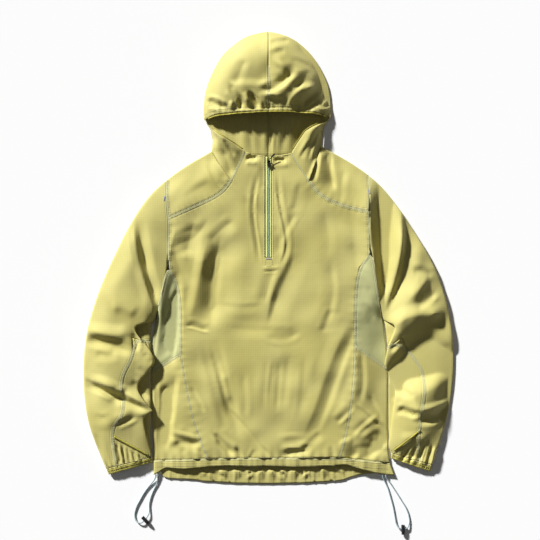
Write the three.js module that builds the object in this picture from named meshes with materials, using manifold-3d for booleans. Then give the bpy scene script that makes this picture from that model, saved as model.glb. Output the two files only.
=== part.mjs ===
// Anorak pullover with a hood, a half zip and a drawcord hem, laid flat on its back.
// Millimetres, +X to the viewer's right, +Y from hem to hood, +Z up from the surface.
// The origin lies under the middle of the garment's box, its drawcords left out.
import * as THREE from 'three';
import { mergeVertices } from 'three/addons/utils/BufferGeometryUtils.js';
import Module from 'manifold-3d';

const wasm = await Module();
wasm.setup();

// Cloth and seams
const CLOTH = 1.5;          // wall of every single layer
const CASING = 2.6;         // doubled cloth round an elastic
const SEAM = 0.17;          // each piece stands back this far from a seam
const FOLD = 2.6;           // outer radius where the cloth folds over at the sides
const SLEEVE_FOLD = 5;      // softer fold on the sleeve's outer edge
const AIR = 0.35;           // clearance between pieces that lie on each other
const FOREARM_BACK = 0.442; // the forearm panel stands back further, under its bulky seam
const JOIN = 1e-4;          // points closer than this are one point
const MITRE = { border: 0.5, tube: 0.8 };     // least share of a corner's mitre, at borders and on tubes

// Heights of the laid garment
const CHEST = 17;           // loft of the body's upper layer
const HEM = 12.5;           // upper layer at the hem's stitch line
const NECK = 15;            // upper layer at the neckline
const SLEEVE = 25;          // loft of a sleeve
const CUFF = 15;            // loft of a sleeve just above its cuff
const CROWN = 39;           // loft of the hood's crown
const FACE = 36;            // hood's front edge at the middle of the face opening
// How far in from an edge each layer takes to reach its loft, and where creases start
const BODY = { side: 62, sideIn: 6, under: 58, underIn: 4, collar: 118, margin: 12, marginFade: 40,
  open: 160, openFade: 60, hemY: -445, hemFade: 160, neckY: 150, neckFade: 70, foldY: -440, foldFade: 40 };
const ARM = { out: 62, outIn: 8, in: 50, inIn: 6, foldFade: 30, foldLeast: 0.25, least: 7.5, bodyFade: 0.2,
  cuffFrom: 0.72 };
const BROW = { rise: 3, power: 0.8, corner: 14, widen: 1.6, deepen: 2.4, edge: 62, round: 2.2, foldFade: 30 };
// Hood's side panel: height of its outer rim, its swell, and its height along the face opening
const FLAP = { rim: 3.8, rimRow: 5, rimRows: 3, swell: 8, swellFrom: 0.1, swellWide: 0.8, swellLeast: 0.08,
  corner: 7, cheek: 24, cheekTo: 0.35, cornerTo: 0.3, across: 1.2, swellIn: 3 };
// Sleeve's armhole bend, forearm seam and inner fold, each growing over a share of the length
const RING = { bend: 0.32, bendPower: 1.5, split: 0.35, fold: 0.1, hook: 0.12, turn: 45 };
const TUCK = { drop: 0.6, startUp: 2, up: 3.2, most: 8.4, least: 2.2, in: 3.4, inLeast: 0.8, ledge: 0.9,
  ledgeLow: 1.2, ledgeHigh: 4 };
const MOUTH = { rim: 7, swell: 4 };           // height of the cuff's lower edge, at its sides and middle

// Cells of the pieces
const ROWS = 2;             // stations between two seam rows
const PANEL = 6;            // columns on each side of the zip
const ACROSS = 4;           // columns of the side panel's and the gusset's upper layer
const FLOOR = 1;            // columns of their layer on the floor
const YOKE_COLUMNS = 6;
const TURN = [50, 0, -50];  // angles of the points round a folded edge
const SLEEVE_TOP = 8;       // columns of the sleeve's upper layer
const SLEEVE_LOW = [8, 6, 5, 4, 2, 1, 0];     // the same columns that its layer on the floor keeps
const STATIONS = 20;        // rings between the armhole and the cuff
const FOREARM_ROW = 8;      // ring where the forearm panel starts
const FOREARM_COLUMN = 6;   // upper column that follows its seam
const CUFF_STEPS = 2;
const CROWN_STATIONS = 12;  // sections from the brow's corner to the middle
const CROWN_COLUMNS = 6;
const NAPE_COLUMNS = 3;
const FLAP_COLUMNS = 6;

// Hem casings
const HEM_CELLS = { across: 56, down: 2 };
const HEM_FRONT = { side: 6.4, middle: 12.2, drop: 1.2, centre: 12, flat: 205, fade: 45 };
const HEM_BACK = { top: 1.7, swell: 0.7 };

// Bindings: half width and height of the rounded edging, then the strip on the slanted cuff seam
const EDGING = { brow: 1.6, browTall: 3, side: 1.4, sideTall: 2.4, flank: 0.7, waist: 0.5, end: 0.04 };
const STRIP = { steps: 18, from: 0.04, span: 0.88, half: 2, sunk: 0.1 };
const PROBE = { skin: 0.01, reach: 3, above: 100 };

// Half zip
const ZIP = { x: 0.5, slot: 7.2, tapeTop: 221, chainTop: 203, bottom: 0, chain: 1.6, tape: 1.2, raise: 0.9,
  sunk: 0.4, rows: 12 };
const SLIDER = { y: 206, wide: 8, long: 13, tall: 3.6, ear: 1, earLong: 3.4, earRise: 2.6,
  earSunk: 1, pivot: 4, nose: 0.34 };
const TAB = { wide: 4.4, long: 21, thick: 1.6, hub: 0.9, lift: 0.6, turn: -38, segments: 6 };

// Drawcords
const CORD = { radius: 1.4, sides: 8, steps: 30 };
const TOGGLE = { radius: 4.4, body: 15, button: 7, buttonRadius: 3.3, hole: 1.9, sides: 16,
  taper: 0.86, sunk: 1, through: 17.6 };

// Colours, roughness
const SHELL = { color: 0xc9bf74, roughness: 0.82, metalness: 0 };
const PALE = { color: 0xc3c787, roughness: 0.85, metalness: 0 };
const BINDING = { color: 0xb5a83a, roughness: 0.6, metalness: 0 };
const TAPE = { color: 0xdcec6a, roughness: 0.7, metalness: 0 };
const COIL = { color: 0x8fb0a8, roughness: 0.5, metalness: 0 };
const BLACK = { color: 0x101010, roughness: 0.4, metalness: 0 };
const DRAWCORD = { color: 0x96aaaf, roughness: 0.8, metalness: 0 };

// Seam and edge rows, [x, y] each. Left is the viewer's left.
// Panel seams run from the hem's stitch line up past gusset and armhole to the yoke.
const SEAM_ROWS = {
  left: [[-133, -440], [-144, -412], [-156, -381], [-167, -346], [-176, -304], [-185, -256], [-192, -211],
    [-192, -177], [-192, -139], [-193, -100], [-197, -71], [-203, -49], [-216, -27], [-219, 4], [-218.5, 43],
    [-218, 87]],
  right: [[155, -438], [164, -408], [172, -375], [178, -339], [184, -298], [188, -247], [190, -194],
    [189, -163], [189, -128], [190, -91], [192, -56], [200, -20], [222, 6], [220, 30], [219.6, 61],
    [219, 101]],
};
const GUSSET_ROW = 6;       // row where the gusset meets the side panel
const ARMHOLE_ROW = 12;     // row where the gusset's point meets the armhole
// Side edges, one row for each of the first thirteen seam rows.
const EDGE_ROWS = {
  left: [[-252, -445], [-254, -416], [-255, -388], [-256, -355], [-256, -318], [-256, -282], [-256, -251],
    [-256, -207], [-254, -170], [-248, -135], [-240.7, -104], [-232, -67], [-223, -29]],
  right: [[266, -450], [262, -419], [261, -388], [261, -357], [261, -324], [261, -287], [261, -245],
    [259, -207], [255, -170], [250, -133], [243, -93], [236, -53], [229, -1]],
};
const ARMPIT_ROW = 9;       // edge row at the armpit
// Yoke seam from the armhole to the neck, and the shoulder fold over it.
const YOKE_ROWS = {
  left: [[-218, 87], [-195, 97], [-173, 107], [-151, 117], [-129, 127], [-111, 137], [-96, 149], [-82, 170]],
  right: [[219, 101], [197, 105], [175, 111], [153, 118], [133, 126], [115, 137], [101, 151], [89, 167]],
};
const SHOULDER_ROWS = {
  left: [[-223, 171], [-210, 181], [-195, 192], [-179, 203], [-164, 212], [-151, 219], [-137, 227],
    [-125, 234]],
  right: [[220, 181], [207, 191], [192, 201], [177, 211], [163, 219], [147, 228], [132, 236], [117, 245]],
};
const ARMHOLE_MID = { left: [-224, 129], right: [221, 140] };
// Neck seam from the yoke seam's end to the neckline.
const NECK_ROWS = {
  left: [[-82, 170], [-71, 191], [-60, 213], [-52, 233]],
  right: [[89, 167], [75, 188], [62, 208], [50, 229]],
};
const NECKLINE = [[-52, 233], [-34, 226], [-19, 224], [-8, 223], [9, 223], [19, 224], [34, 226], [50, 229]];
const BACK_NECK = [[-125, 234], [-64, 212], [0, 207], [63, 214], [117, 245]];
// Hood's side panel between its outer edge and the face opening, from the brow to the neck.
const FLAP_OUT = {
  left: [[-141, 301], [-128, 282], [-122, 261], [-125, 234], [-111, 211], [-96, 189], [-82, 170]],
  right: [[138, 305], [122, 291], [119, 272], [117, 245], [107, 219], [98, 193], [89, 167]],
};
const FLAP_SHOULDER = 3;    // row where that outer edge meets the shoulder
const FLAP_IN = {
  left: [[-135, 293], [-120, 278], [-103, 266], [-87, 256], [-72, 247], [-61, 239], [-52, 233]],
  right: [[131, 299], [109, 292], [94, 285], [80, 276], [70, 261], [60, 246], [50, 229]],
};
// Hood's crown, from the brow's corner to the middle: face edge and outline.
const FACE_ROWS = {
  left: [[-141, 301], [-129, 309], [-111, 313], [-94, 314], [-74, 316], [-56, 317], [-36, 318], [-19, 319],
    [0, 320]],
  right: [[138, 305], [124, 313], [107, 316], [89, 318], [72, 319], [54, 320], [36, 320], [19, 320],
    [0, 320]],
};
const CROWN_ROWS = {
  left: [[-143, 310], [-143, 343], [-136, 376], [-123, 409], [-103, 444], [-78, 468], [-52, 485],
    [-25, 494], [0, 497]],
  right: [[137, 314], [137, 343], [132, 376], [119, 409], [100, 440], [77, 465], [53, 482], [26, 493],
    [0, 497]],
};
// Sleeve stations from the shoulder to the cuff. outer: folded edge. lip: where the upper layer
// turns under, with its height. low: inner edge of the layer on the floor. seam: share of the way
// across where the forearm panel starts.
const SLEEVE_ROWS = {
  left: [
    // outer       lip           height  low          seam
    [-223, 171, -248, -135, 6, -248, -135, 0.86],
    [-256, 145, -251, -139, 9, -252, -141, 0.86],
    [-287, 103, -259, -141, 13, -256, -148, 0.86],
    [-316, 52, -267, -143, 16, -259, -155, 0.86],
    [-344, -7, -278, -147, 18, -257.5, -161, 0.86],
    [-371, -67, -296, -152, 19, -257.5, -170, 0.86],
    [-390, -122, -285, -174, 17, -257.5, -181, 0.84],
    [-402, -172, -257.5, -196, 15, -257.5, -194, 0.76],
    [-406, -218, -246, -229, 15, -257.5, -214, 0.66],
    [-407.5, -258, -267, -256, 17, -257.5, -238, 0.62],
    [-406, -298, -296, -282, 18, -257.5, -265, 0.74],
    [-402, -331, -272, -309, 15, -257.5, -291, 0.68],
    [-395, -364, -253, -335, 14, -257.5, -315, 0.52],
    [-387, -390, -278, -350, 16, -257.5, -340, 0.4],
    [-378, -414, -268, -385, 13, -257.5, -365, 0.34],
    [-367, -441, -259, -417, 10, -259, -402, 0.28],
    [-357, -463, -255, -437, 8, -255, -437, 0.24],
  ],
  right: [
    [220, 181, 250, -133, 6, 250, -133, 0.86],
    [252, 155, 252, -136, 9, 253.5, -140, 0.86],
    [285, 112, 257, -139, 12, 255.5, -148, 0.86],
    [315, 68, 264, -142, 14, 256.5, -155, 0.86],
    [342, 23, 272, -146, 15, 257.5, -162, 0.85],
    [366, -20, 278, -156, 16, 258.5, -172, 0.84],
    [386, -71, 266, -180, 17, 260, -188, 0.82],
    [400, -133, 250, -226, 17, 262, -206, 0.68],
    [406, -180, 262, -254, 14, 262.8, -228, 0.58],
    [407.5, -220, 281, -287, 13, 262.8, -256, 0.52],
    [406, -262, 276, -318, 13, 262.8, -285, 0.5],
    [401, -305, 270, -350, 12, 262.8, -315, 0.5],
    [394, -345, 268, -378, 11, 262.8, -345, 0.5],
    [385, -380, 262.8, -402, 10, 262.8, -372, 0.48],
    [375, -410, 262.8, -415, 9, 262.8, -395, 0.42],
    [366, -438, 268, -424, 8, 268, -414, 0.36],
    [360, -455, 269, -428, 8, 269, -428, 0.32],
  ],
};
const CUFF_END = { left: [[-351, -476], [-254, -449]], right: [[356, -470], [270, -441]] };
const BINDING_ROWS = { left: [[-341, -389], [-256, -436]], right: [[333, -374], [270, -426]] };
// Lower edges of the two hem casings.
const FRONT_HEM = [[-252, -477], [-241, -472], [-228, -460], [-188, -464], [-148, -460], [-96, -456],
  [-45, -458], [3, -457], [58, -459], [109, -458], [173, -453], [190, -460], [215, -467], [245, -475],
  [276, -478]];
const BACK_HEM = [[-230, -482], [-221, -485], [-163, -488], [-148, -491], [-74, -496], [3, -497], [88, -495],
  [162, -490], [183, -481], [215, -475], [241, -473]];

// Largest folds. A row is a path, its height against the cloth round it, and its half width.
const BODY_FOLDS = [
  // x1    y1    x2    y2   height width
  [-109, 41, -175, -152, -6.0, 26],
  [-124, -190, -113, -252, -4.5, 20],
  [-113, -252, -82, -366, -4.0, 22],
  [-96, -254, -89, -312, 3.5, 16],
  [-94, -322, -38, -396, -4.0, 16],
  [-38, -396, 8, -437, -4.0, 14],
  [30, -49, 5, -100, -4.0, 18],
  [5, -100, 0, -144, -4.5, 18],
  [-60, -160, 60, -160, -2.5, 14],
  [179, -155, 133, -269, -6.5, 22],
  [133, -269, 71, -403, -5.0, 20],
  [160, -240, 118, -350, 4.5, 18],
  [25, -425, 92, -428, -4.5, 16],
  [-116, -384, -54, -434, -4.0, 14],
  [30, 61, 25, 21, -3.0, 13],
  [59, 13, 34, -36, -3.0, 14],
  [-206, 41, -198, -18, -5.5, 18],
  [-142, 30, -112, -60, -4.0, 20],
  [-206, -260, -226, -372, -4.0, 20],
  [222, -300, 236, -372, -4.5, 20],
  [-200, 130, -150, 190, -3.0, 16],
  [160, 215, 150, 130, -4.5, 18],
];
const SLEEVE_FOLDS = [
  [-294, 81, -276, -11, -7.0, 22],
  [-276, -11, -248, -98, -7.0, 20],
  [-396, -168, -310, -178, -6.5, 18],
  [-405, -268, -331, -300, -6.5, 16],
  [-331, -300, -300, -290, -6.5, 16],
  [-311, -95, -300, -140, 4.0, 24],
  [-340, -215, -290, -232, 4.0, 24],
  [-350, -350, -280, -338, 4.5, 18],
  [240, 132, 234, -94, -8.5, 20],
  [265, -27, 250, -124, 4.0, 18],
  [292, -27, 263, -98, -6.5, 16],
  [351, -38, 330, -100, -5.0, 20],
  [390, -135, 305, -140, -6.0, 14],
  [388, -150, 300, -208, -9.0, 20],
  [399, -321, 347, -340, -7.0, 16],
  [283, -332, 329, -342, -5.0, 14],
  [330, -250, 370, -260, 3.5, 22],
];
const CROWN_FOLDS = [
  [4, 415, -28, 362, -6.0, 14],
  [40, 400, 8, 355, -6.0, 14],
  [60, 412, 22, 404, 4.0, 10],
  [78, 372, 40, 330, -6.5, 14],
  [108, 352, 62, 322, -6.0, 12],
  [120, 340, 96, 318, 4.0, 9],
  [-84, 372, -62, 330, -3.5, 10],
  [-44, 356, -30, 326, -5.0, 9],
  [-128, 344, -104, 324, -3.5, 9],
  [30, 470, 80, 440, -3.0, 12],
  [-20, 322, 20, 350, 3.0, 16],
];
// Gathers: pitch of the hem's waves, their height, how they drift, where they start and end down the
// casing, cells of one cuff pleat, and its height
const GATHERS = { hem: 28, height: 0.7, drift: 2, driftPitch: 37, from: 0.15, to: 0.85, cuffCells: 4,
  cuffHeight: 0.8 };
// Drawcord loops: x, y and height of the centre line, out of the hem, through a toggle and back.
const CORD_ROWS = {
  left: [[-248, -476.1, 5], [-248, -479.6, 4.7], [-251, -488, 3.2], [-258, -497, 2], [-270, -512, 1.5],
    [-282, -532, 1.5], [-292, -553, 1.5],
    [-294, -569, 1.6], [-289, -580, 3.2], [-280, -582.5, 4.6], [-272, -575, 4.7], [-265, -567, 4.3],
    [-262, -557, 2.2], [-262, -545, 1.5], [-259, -528, 1.5], [-252, -510, 1.5], [-246, -498, 2],
    [-243.6, -486, 3.4], [-243, -477.3, 4.7], [-243, -473.8, 5]],
  right: [[250.5, -476, 5.2], [250.5, -479.5, 4.8], [253.5, -487, 3.2], [257.5, -496, 2], [262, -506, 1.5],
    [268, -526, 1.5], [274, -549, 1.5],
    [278, -570, 1.5], [281, -585, 2.6], [287.5, -594, 4.4], [295.5, -594.5, 4.7], [303.5, -594.5, 4.4],
    [309, -585, 2.4], [309, -571, 1.5], [303, -552, 1.5], [290, -530, 1.5], [276, -508, 1.5],
    [266, -493, 2.2], [259, -484, 4], [258, -480.2, 4.9], [258, -476.7, 5.2]],
};
const TOGGLES = {
  left: { x: -272, y: -575, z: 4.7, turn: -47 },
  right: { x: 295.5, y: -594.5, z: 4.7, turn: -90 },
};

// Plain arithmetic
const lerp = (a, b, t) => a + (b - a) * t;
const mix = (p, q, t) => p.map((value, i) => lerp(value, q[i], t));
const clamp = (value, low = 0, high = 1) => Math.min(high, Math.max(low, value));
const range = (count) => Array.from({ length: count }, (_, i) => i);

// Smooth step from 0 to 1.
function ease(value) {
  const t = clamp(value);
  return t * t * (3 - 2 * t);
}

// Point a share of the way along a polyline whose rows are evenly numbered.
function along(rows, share) {
  const place = clamp(share) * (rows.length - 1);
  const i = Math.min(rows.length - 2, Math.floor(place));
  return mix(rows[i], rows[i + 1], place - i);
}

// Value of a polyline at one coordinate, read from rows sorted by it.
function readAt(rows, key, value) {
  const other = 1 - key;
  const sorted = [...rows].sort((p, q) => p[key] - q[key]);
  if (value <= sorted[0][key]) return sorted[0][other];
  for (const i of range(sorted.length - 1)) {
    const [p, q] = [sorted[i], sorted[i + 1]];
    if (value <= q[key]) return lerp(p[other], q[other], (value - p[key]) / (q[key] - p[key] || 1));
  }
  return sorted[sorted.length - 1][other];
}

// Soft troughs and ridges: each row adds its height near its path and fades at both ends.
function relief(rows, x, y) {
  let height = 0;
  for (const [x1, y1, x2, y2, rise, width] of rows) {
    const [dx, dy] = [x2 - x1, y2 - y1];
    const t = clamp(((x - x1) * dx + (y - y1) * dy) / (dx * dx + dy * dy));
    const away = Math.hypot(x - x1 - t * dx, y - y1 - t * dy) / width;
    if (away < 1) height += rise * (1 - ease(away));
  }
  return height;
}

// Upper layer of the body, outer face.
function bodyTop(x, y) {
  const side = x < 0 ? 'left' : 'right';
  const edges = EDGE_ROWS[side].slice(0, ARMPIT_ROW + 1);
  const armpit = edges[ARMPIT_ROW][1];
  const margin = BODY.margin * ease((armpit - y) / BODY.marginFade);
  const open = BODY.open * ease((y - armpit) / BODY.openFade);
  const inward = Math.abs(readAt(edges, 1, y)) - Math.abs(x) + open - margin;
  const under = readAt(SHOULDER_ROWS[side], 0, x) - y + Math.max(0, BODY.collar - Math.abs(x));
  const loft = lerp(HEM, CHEST, ease((y - BODY.hemY) / BODY.hemFade))
    - (CHEST - NECK) * ease((y - BODY.neckY) / BODY.neckFade);
  const share = ease((inward + BODY.sideIn) / BODY.side) * ease((under + BODY.underIn) / BODY.under);
  const creases = relief(BODY_FOLDS, x, y) * ease((y - BODY.foldY) / BODY.foldFade);
  return 2 * FOLD + (loft - 2 * FOLD + creases) * share;
}

// Closed solid from two matching grids, the outer and the inner face. present says which cells the
// piece has. loop joins the last column to the first. Open borders stand back by SEAM.
function wall(outer, inner, present = () => true, loop = false, back = SEAM) {
  const rows = outer.length;
  const cols = outer[0].length;
  const cellCols = loop ? cols : cols - 1;
  const has = (r, c) => {
    if (r < 0 || r >= rows - 1) return false;
    if (loop) return present(r, (c + cols) % cols);
    return c >= 0 && c < cellCols && present(r, c);
  };
  const id = (r, c) => r * cols + ((c + cols) % cols);
  const shift = new Map();
  const borders = [];
  const vec = (grid, r, c) => new THREE.Vector3(...grid[r][(c + cols) % cols]);
  for (const r of range(rows - 1)) {
    for (const c of range(cellCols)) {
      if (!has(r, c)) continue;
      const ring = [[r, c], [r, c + 1], [r + 1, c + 1], [r + 1, c]];
      const beyond = [[r - 1, c], [r, c + 1], [r + 1, c], [r, c - 1]];
      const centre = new THREE.Vector3();
      ring.forEach(([i, j]) => centre.add(vec(outer, i, j)));
      centre.multiplyScalar(1 / ring.length);
      range(4).forEach((k) => {
        if (has(...beyond[k])) return;
        const [a, b] = [ring[k], ring[(k + 1) % 4]];
        borders.push([id(...a), id(...b)]);
        const [pa, pb] = [vec(outer, ...a), vec(outer, ...b)];
        const run = pb.clone().sub(pa).normalize();
        const into = centre.clone().sub(pa);
        into.addScaledVector(run, -into.dot(run)).normalize();
        [a, b].forEach((corner) => {
          const key = id(...corner);
          if (!shift.has(key)) shift.set(key, []);
          shift.get(key).push(into);
        });
      });
    }
  }
  const positions = [];
  [outer, inner].forEach((grid) => {
    for (const r of range(rows)) {
      for (const c of range(cols)) {
        const point = vec(grid, r, c);
        const ways = shift.get(id(r, c));
        if (ways && ways.length > 1) {
          const [first, last] = [ways[0], ways[ways.length - 1]];
          const mitre = Math.max(MITRE.border, 1 + first.dot(last));
          point.addScaledVector(first.clone().add(last), back / mitre);
        }
        positions.push(point.x, point.y, Math.max(0, point.z));
      }
    }
  });
  const depth = rows * cols;
  const faces = [];
  for (const r of range(rows - 1)) {
    for (const c of range(cellCols)) {
      if (!has(r, c)) continue;
      const [a, b, d, e] = [id(r, c), id(r, c + 1), id(r + 1, c + 1), id(r + 1, c)];
      faces.push(a, b, d, a, d, e);
      faces.push(a + depth, d + depth, b + depth, a + depth, e + depth, d + depth);
    }
  }
  for (const [a, b] of borders) faces.push(a, b + depth, b, a, a + depth, b + depth);
  return closed(positions, faces);
}

// Geometry from positions and triangles, turned right side out and without unused points.
function closed(positions, faces) {
  const at = (i) => new THREE.Vector3().fromArray(positions, 3 * i);
  let volume = 0;
  for (let i = 0; i < faces.length; i += 3) {
    volume += at(faces[i]).dot(at(faces[i + 1]).cross(at(faces[i + 2])));
  }
  const order = volume < 0 ? [0, 2, 1] : [0, 1, 2];
  const used = new Map();
  const kept = [];
  const index = [];
  for (let i = 0; i < faces.length; i += 3) {
    for (const k of order) {
      const old = faces[i + k];
      if (!used.has(old)) {
        used.set(old, kept.length / 3);
        kept.push(...positions.slice(3 * old, 3 * old + 3));
      }
      index.push(used.get(old));
    }
  }
  const geometry = new THREE.BufferGeometry();
  geometry.setAttribute('position', new THREE.Float32BufferAttribute(kept, 3));
  geometry.setIndex(index);
  geometry.computeVertexNormals();
  return geometry;
}

const anorak = new THREE.Group();
function add(name, geometry, finish) {
  const mesh = new THREE.Mesh(geometry, new THREE.MeshStandardMaterial(finish));
  mesh.name = name;
  anorak.add(mesh);
  return mesh;
}

// Rows split further, so that two pieces on one seam share every corner.
function finer(rows, parts) {
  const points = range((rows.length - 1) * parts).map((i) => along(rows, i / ((rows.length - 1) * parts)));
  return [...points, rows[rows.length - 1]];
}

// Single layer over the body: the outer face at the given height, the inner one a wall lower.
function layer(grid, height, thick = CLOTH) {
  const outer = grid.map((row) => row.map(([x, y]) => [x, y, height(x, y)]));
  const inner = outer.map((row) => row.map(([x, y, z]) => [x, y, z - thick]));
  return [outer, inner];
}

// Section of a piece that folds over an edge: upper layer from the seam to the fold, half a turn,
// then the layer on the floor back to a seam. Rows with no fold run straight to the edge.
function wrapRow(top, edge, floor, height, folded, radius = FOLD) {
  const outer = [];
  const inner = [];
  const flat = (points, upper) => points.forEach(([x, y]) => {
    const z = upper ? height(x, y) : 0;
    outer.push([x, y, z]);
    inner.push([x, y, upper ? z - CLOTH : CLOTH]);
  });
  const last = top[top.length - 2];
  const run = Math.hypot(last[0] - edge[0], last[1] - edge[1]);
  const inset = mix(edge, last, radius / run);
  flat([...top.slice(0, -1), folded ? inset : edge], true);
  const crest = height(...inset);
  for (const angle of TURN) {
    const turn = THREE.MathUtils.degToRad(angle);
    const share = (r) => mix(edge, last, (radius - r * Math.cos(turn)) / run);
    const rise = angle > 0 ? crest - radius : radius;
    outer.push([...share(radius), radius + rise * Math.sin(turn)]);
    inner.push([...share(radius - CLOTH), radius + (rise - CLOTH) * Math.sin(turn)]);
  }
  flat([folded ? inset : edge, ...floor.slice(1)], false);
  return [outer, inner];
}

// Body pieces
function frontGrid() {
  const left = finer([...SEAM_ROWS.left, ...YOKE_ROWS.left.slice(1), ...NECK_ROWS.left.slice(1)], ROWS);
  const right = finer([...SEAM_ROWS.right, ...YOKE_ROWS.right.slice(1), ...NECK_ROWS.right.slice(1)], ROWS);
  const [slotLeft, slotRight] = [ZIP.x - ZIP.slot, ZIP.x + ZIP.slot];
  return left.map((a, r) => {
    const b = right[r];
    const topRow = r === left.length - 1;
    const xs = [...range(PANEL + 1).map((c) => lerp(a[0], slotLeft, c / PANEL)),
      ...range(PANEL + 1).map((c) => lerp(slotRight, b[0], c / PANEL))];
    return xs.map((x) => {
      const share = (x - a[0]) / (b[0] - a[0]);
      const middle = lerp(a[1], b[1], share);
      const level = r === ROWS * ARMHOLE_ROW ? -4 * share * (1 - share) * (middle - ZIP.bottom) : 0;
      return [x, topRow ? readAt(NECKLINE, 0, x) : middle + level];
    });
  });
}

function makeFront() {
  const grid = frontGrid();
  const [outer, inner] = layer(grid, bodyTop);
  const slot = (r, c) => !(c === PANEL && r >= ROWS * ARMHOLE_ROW);
  add('front_panel', wall(outer, inner, slot), SHELL);
}

function backGrid(columns) {
  const side = (name) => finer([...SEAM_ROWS[name], ...YOKE_ROWS[name].slice(1),
    ...FLAP_OUT[name].slice(FLAP_SHOULDER, -1).reverse()], 1);
  const [left, right] = [side('left'), side('right')];
  const rise = FLAP_OUT.left.length - 1 - FLAP_SHOULDER;
  const base = left.length - 1 - rise;
  return left.map((a, r) => range(columns + 1).map((c) => {
    const share = c / columns;
    if (r <= base) return mix(a, right[r], share);
    const [low, high] = [mix(left[base], right[base], share), along(BACK_NECK, share)];
    const t = (r - base) / rise;
    const ends = [[left[base], left[left.length - 1], a], [right[base], right[right.length - 1], right[r]]];
    const [off, far] = ends.map(([from, to, at]) => mix(from, to, t).map((value, k) => at[k] - value));
    return mix(low, high, t).map((value, k) => value + lerp(off[k], far[k], share));
  }));
}

function makeBack() {
  const grid = backGrid(BACK_NECK.length - 1);
  add('back_panel', wall(...layer(grid, () => CLOTH)), SHELL);
}

function makeSides(side) {
  const seam = SEAM_ROWS[side];
  const edge = EDGE_ROWS[side];
  const strip = (first, last, name, finish) => {
    const outer = [];
    const inner = [];
    const stations = range(last - first + 1).map((i) => first + i);
    for (const r of stations) {
      const top = range(ACROSS + 1).map((c) => mix(seam[r], edge[r], c / ACROSS));
      const floor = range(FLOOR + 1).map((c) => mix(edge[r], seam[r], c / FLOOR));
      const [o, i] = wrapRow(top, edge[r], floor, bodyTop, r <= ARMPIT_ROW);
      outer.push(o);
      inner.push(i);
    }
    const turned = (c) => c >= ACROSS && c <= ACROSS + TURN.length;
    const present = (r, c) => !(turned(c) && first + r >= ARMPIT_ROW);
    add(name, wall(outer, inner, present), finish);
  };
  strip(0, GUSSET_ROW, `side_panel_${side}`, SHELL);
  strip(GUSSET_ROW, ARMHOLE_ROW, `gusset_${side}`, PALE);
}

function makeYoke(side) {
  const seam = YOKE_ROWS[side];
  const ridge = SHOULDER_ROWS[side];
  const armhole = [SEAM_ROWS[side].at(-1), ARMHOLE_MID[side], ridge[0]];
  const neck = FLAP_OUT[side].slice(FLAP_SHOULDER).reverse();
  const outer = [];
  const inner = [];
  seam.forEach((a, r) => {
    const end = r === 0 ? armhole : neck;
    const straight = r > 0 && r < seam.length - 1;
    const top = range(YOKE_COLUMNS + 1).map((c) => (straight
      ? mix(a, ridge[r], c / YOKE_COLUMNS) : along(end, c / YOKE_COLUMNS)));
    const [o, i] = wrapRow(top, ridge[r], [...top].reverse(), bodyTop, true);
    outer.push(o);
    inner.push(i);
  });
  add(`yoke_${side}`, wall(outer, inner), SHELL);
}

// Sleeves: rings of one cloth tube, split along the seam of the forearm panel.
function armholeRows(side) {
  const seam = SEAM_ROWS[side].slice(ARMHOLE_ROW + 1).reverse();
  const upper = [SHOULDER_ROWS[side][0], ARMHOLE_MID[side], ...seam];
  return [...upper, ...EDGE_ROWS[side].slice(ARMPIT_ROW, ARMHOLE_ROW + 1).reverse()];
}

function sleeveTop(side, x, y, outward, inward, station, lip) {
  const loft = lerp(SLEEVE, CUFF, ease((station - ARM.cuffFrom) / (1 - ARM.cuffFrom)));
  const share = ease((outward + ARM.outIn) / ARM.out) * ease((inward + ARM.inIn) / ARM.in);
  const low = lerp(2 * SLEEVE_FOLD, lip + FOLD, outward / (outward + inward || 1));
  const creases = relief(SLEEVE_FOLDS, x, y) * ease(outward / ARM.foldFade + ARM.foldLeast);
  const own = low + (loft - low) * share + creases;
  return lerp(bodyTop(x, y), Math.max(own, ARM.least), ease(station / ARM.bodyFade));
}

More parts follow.
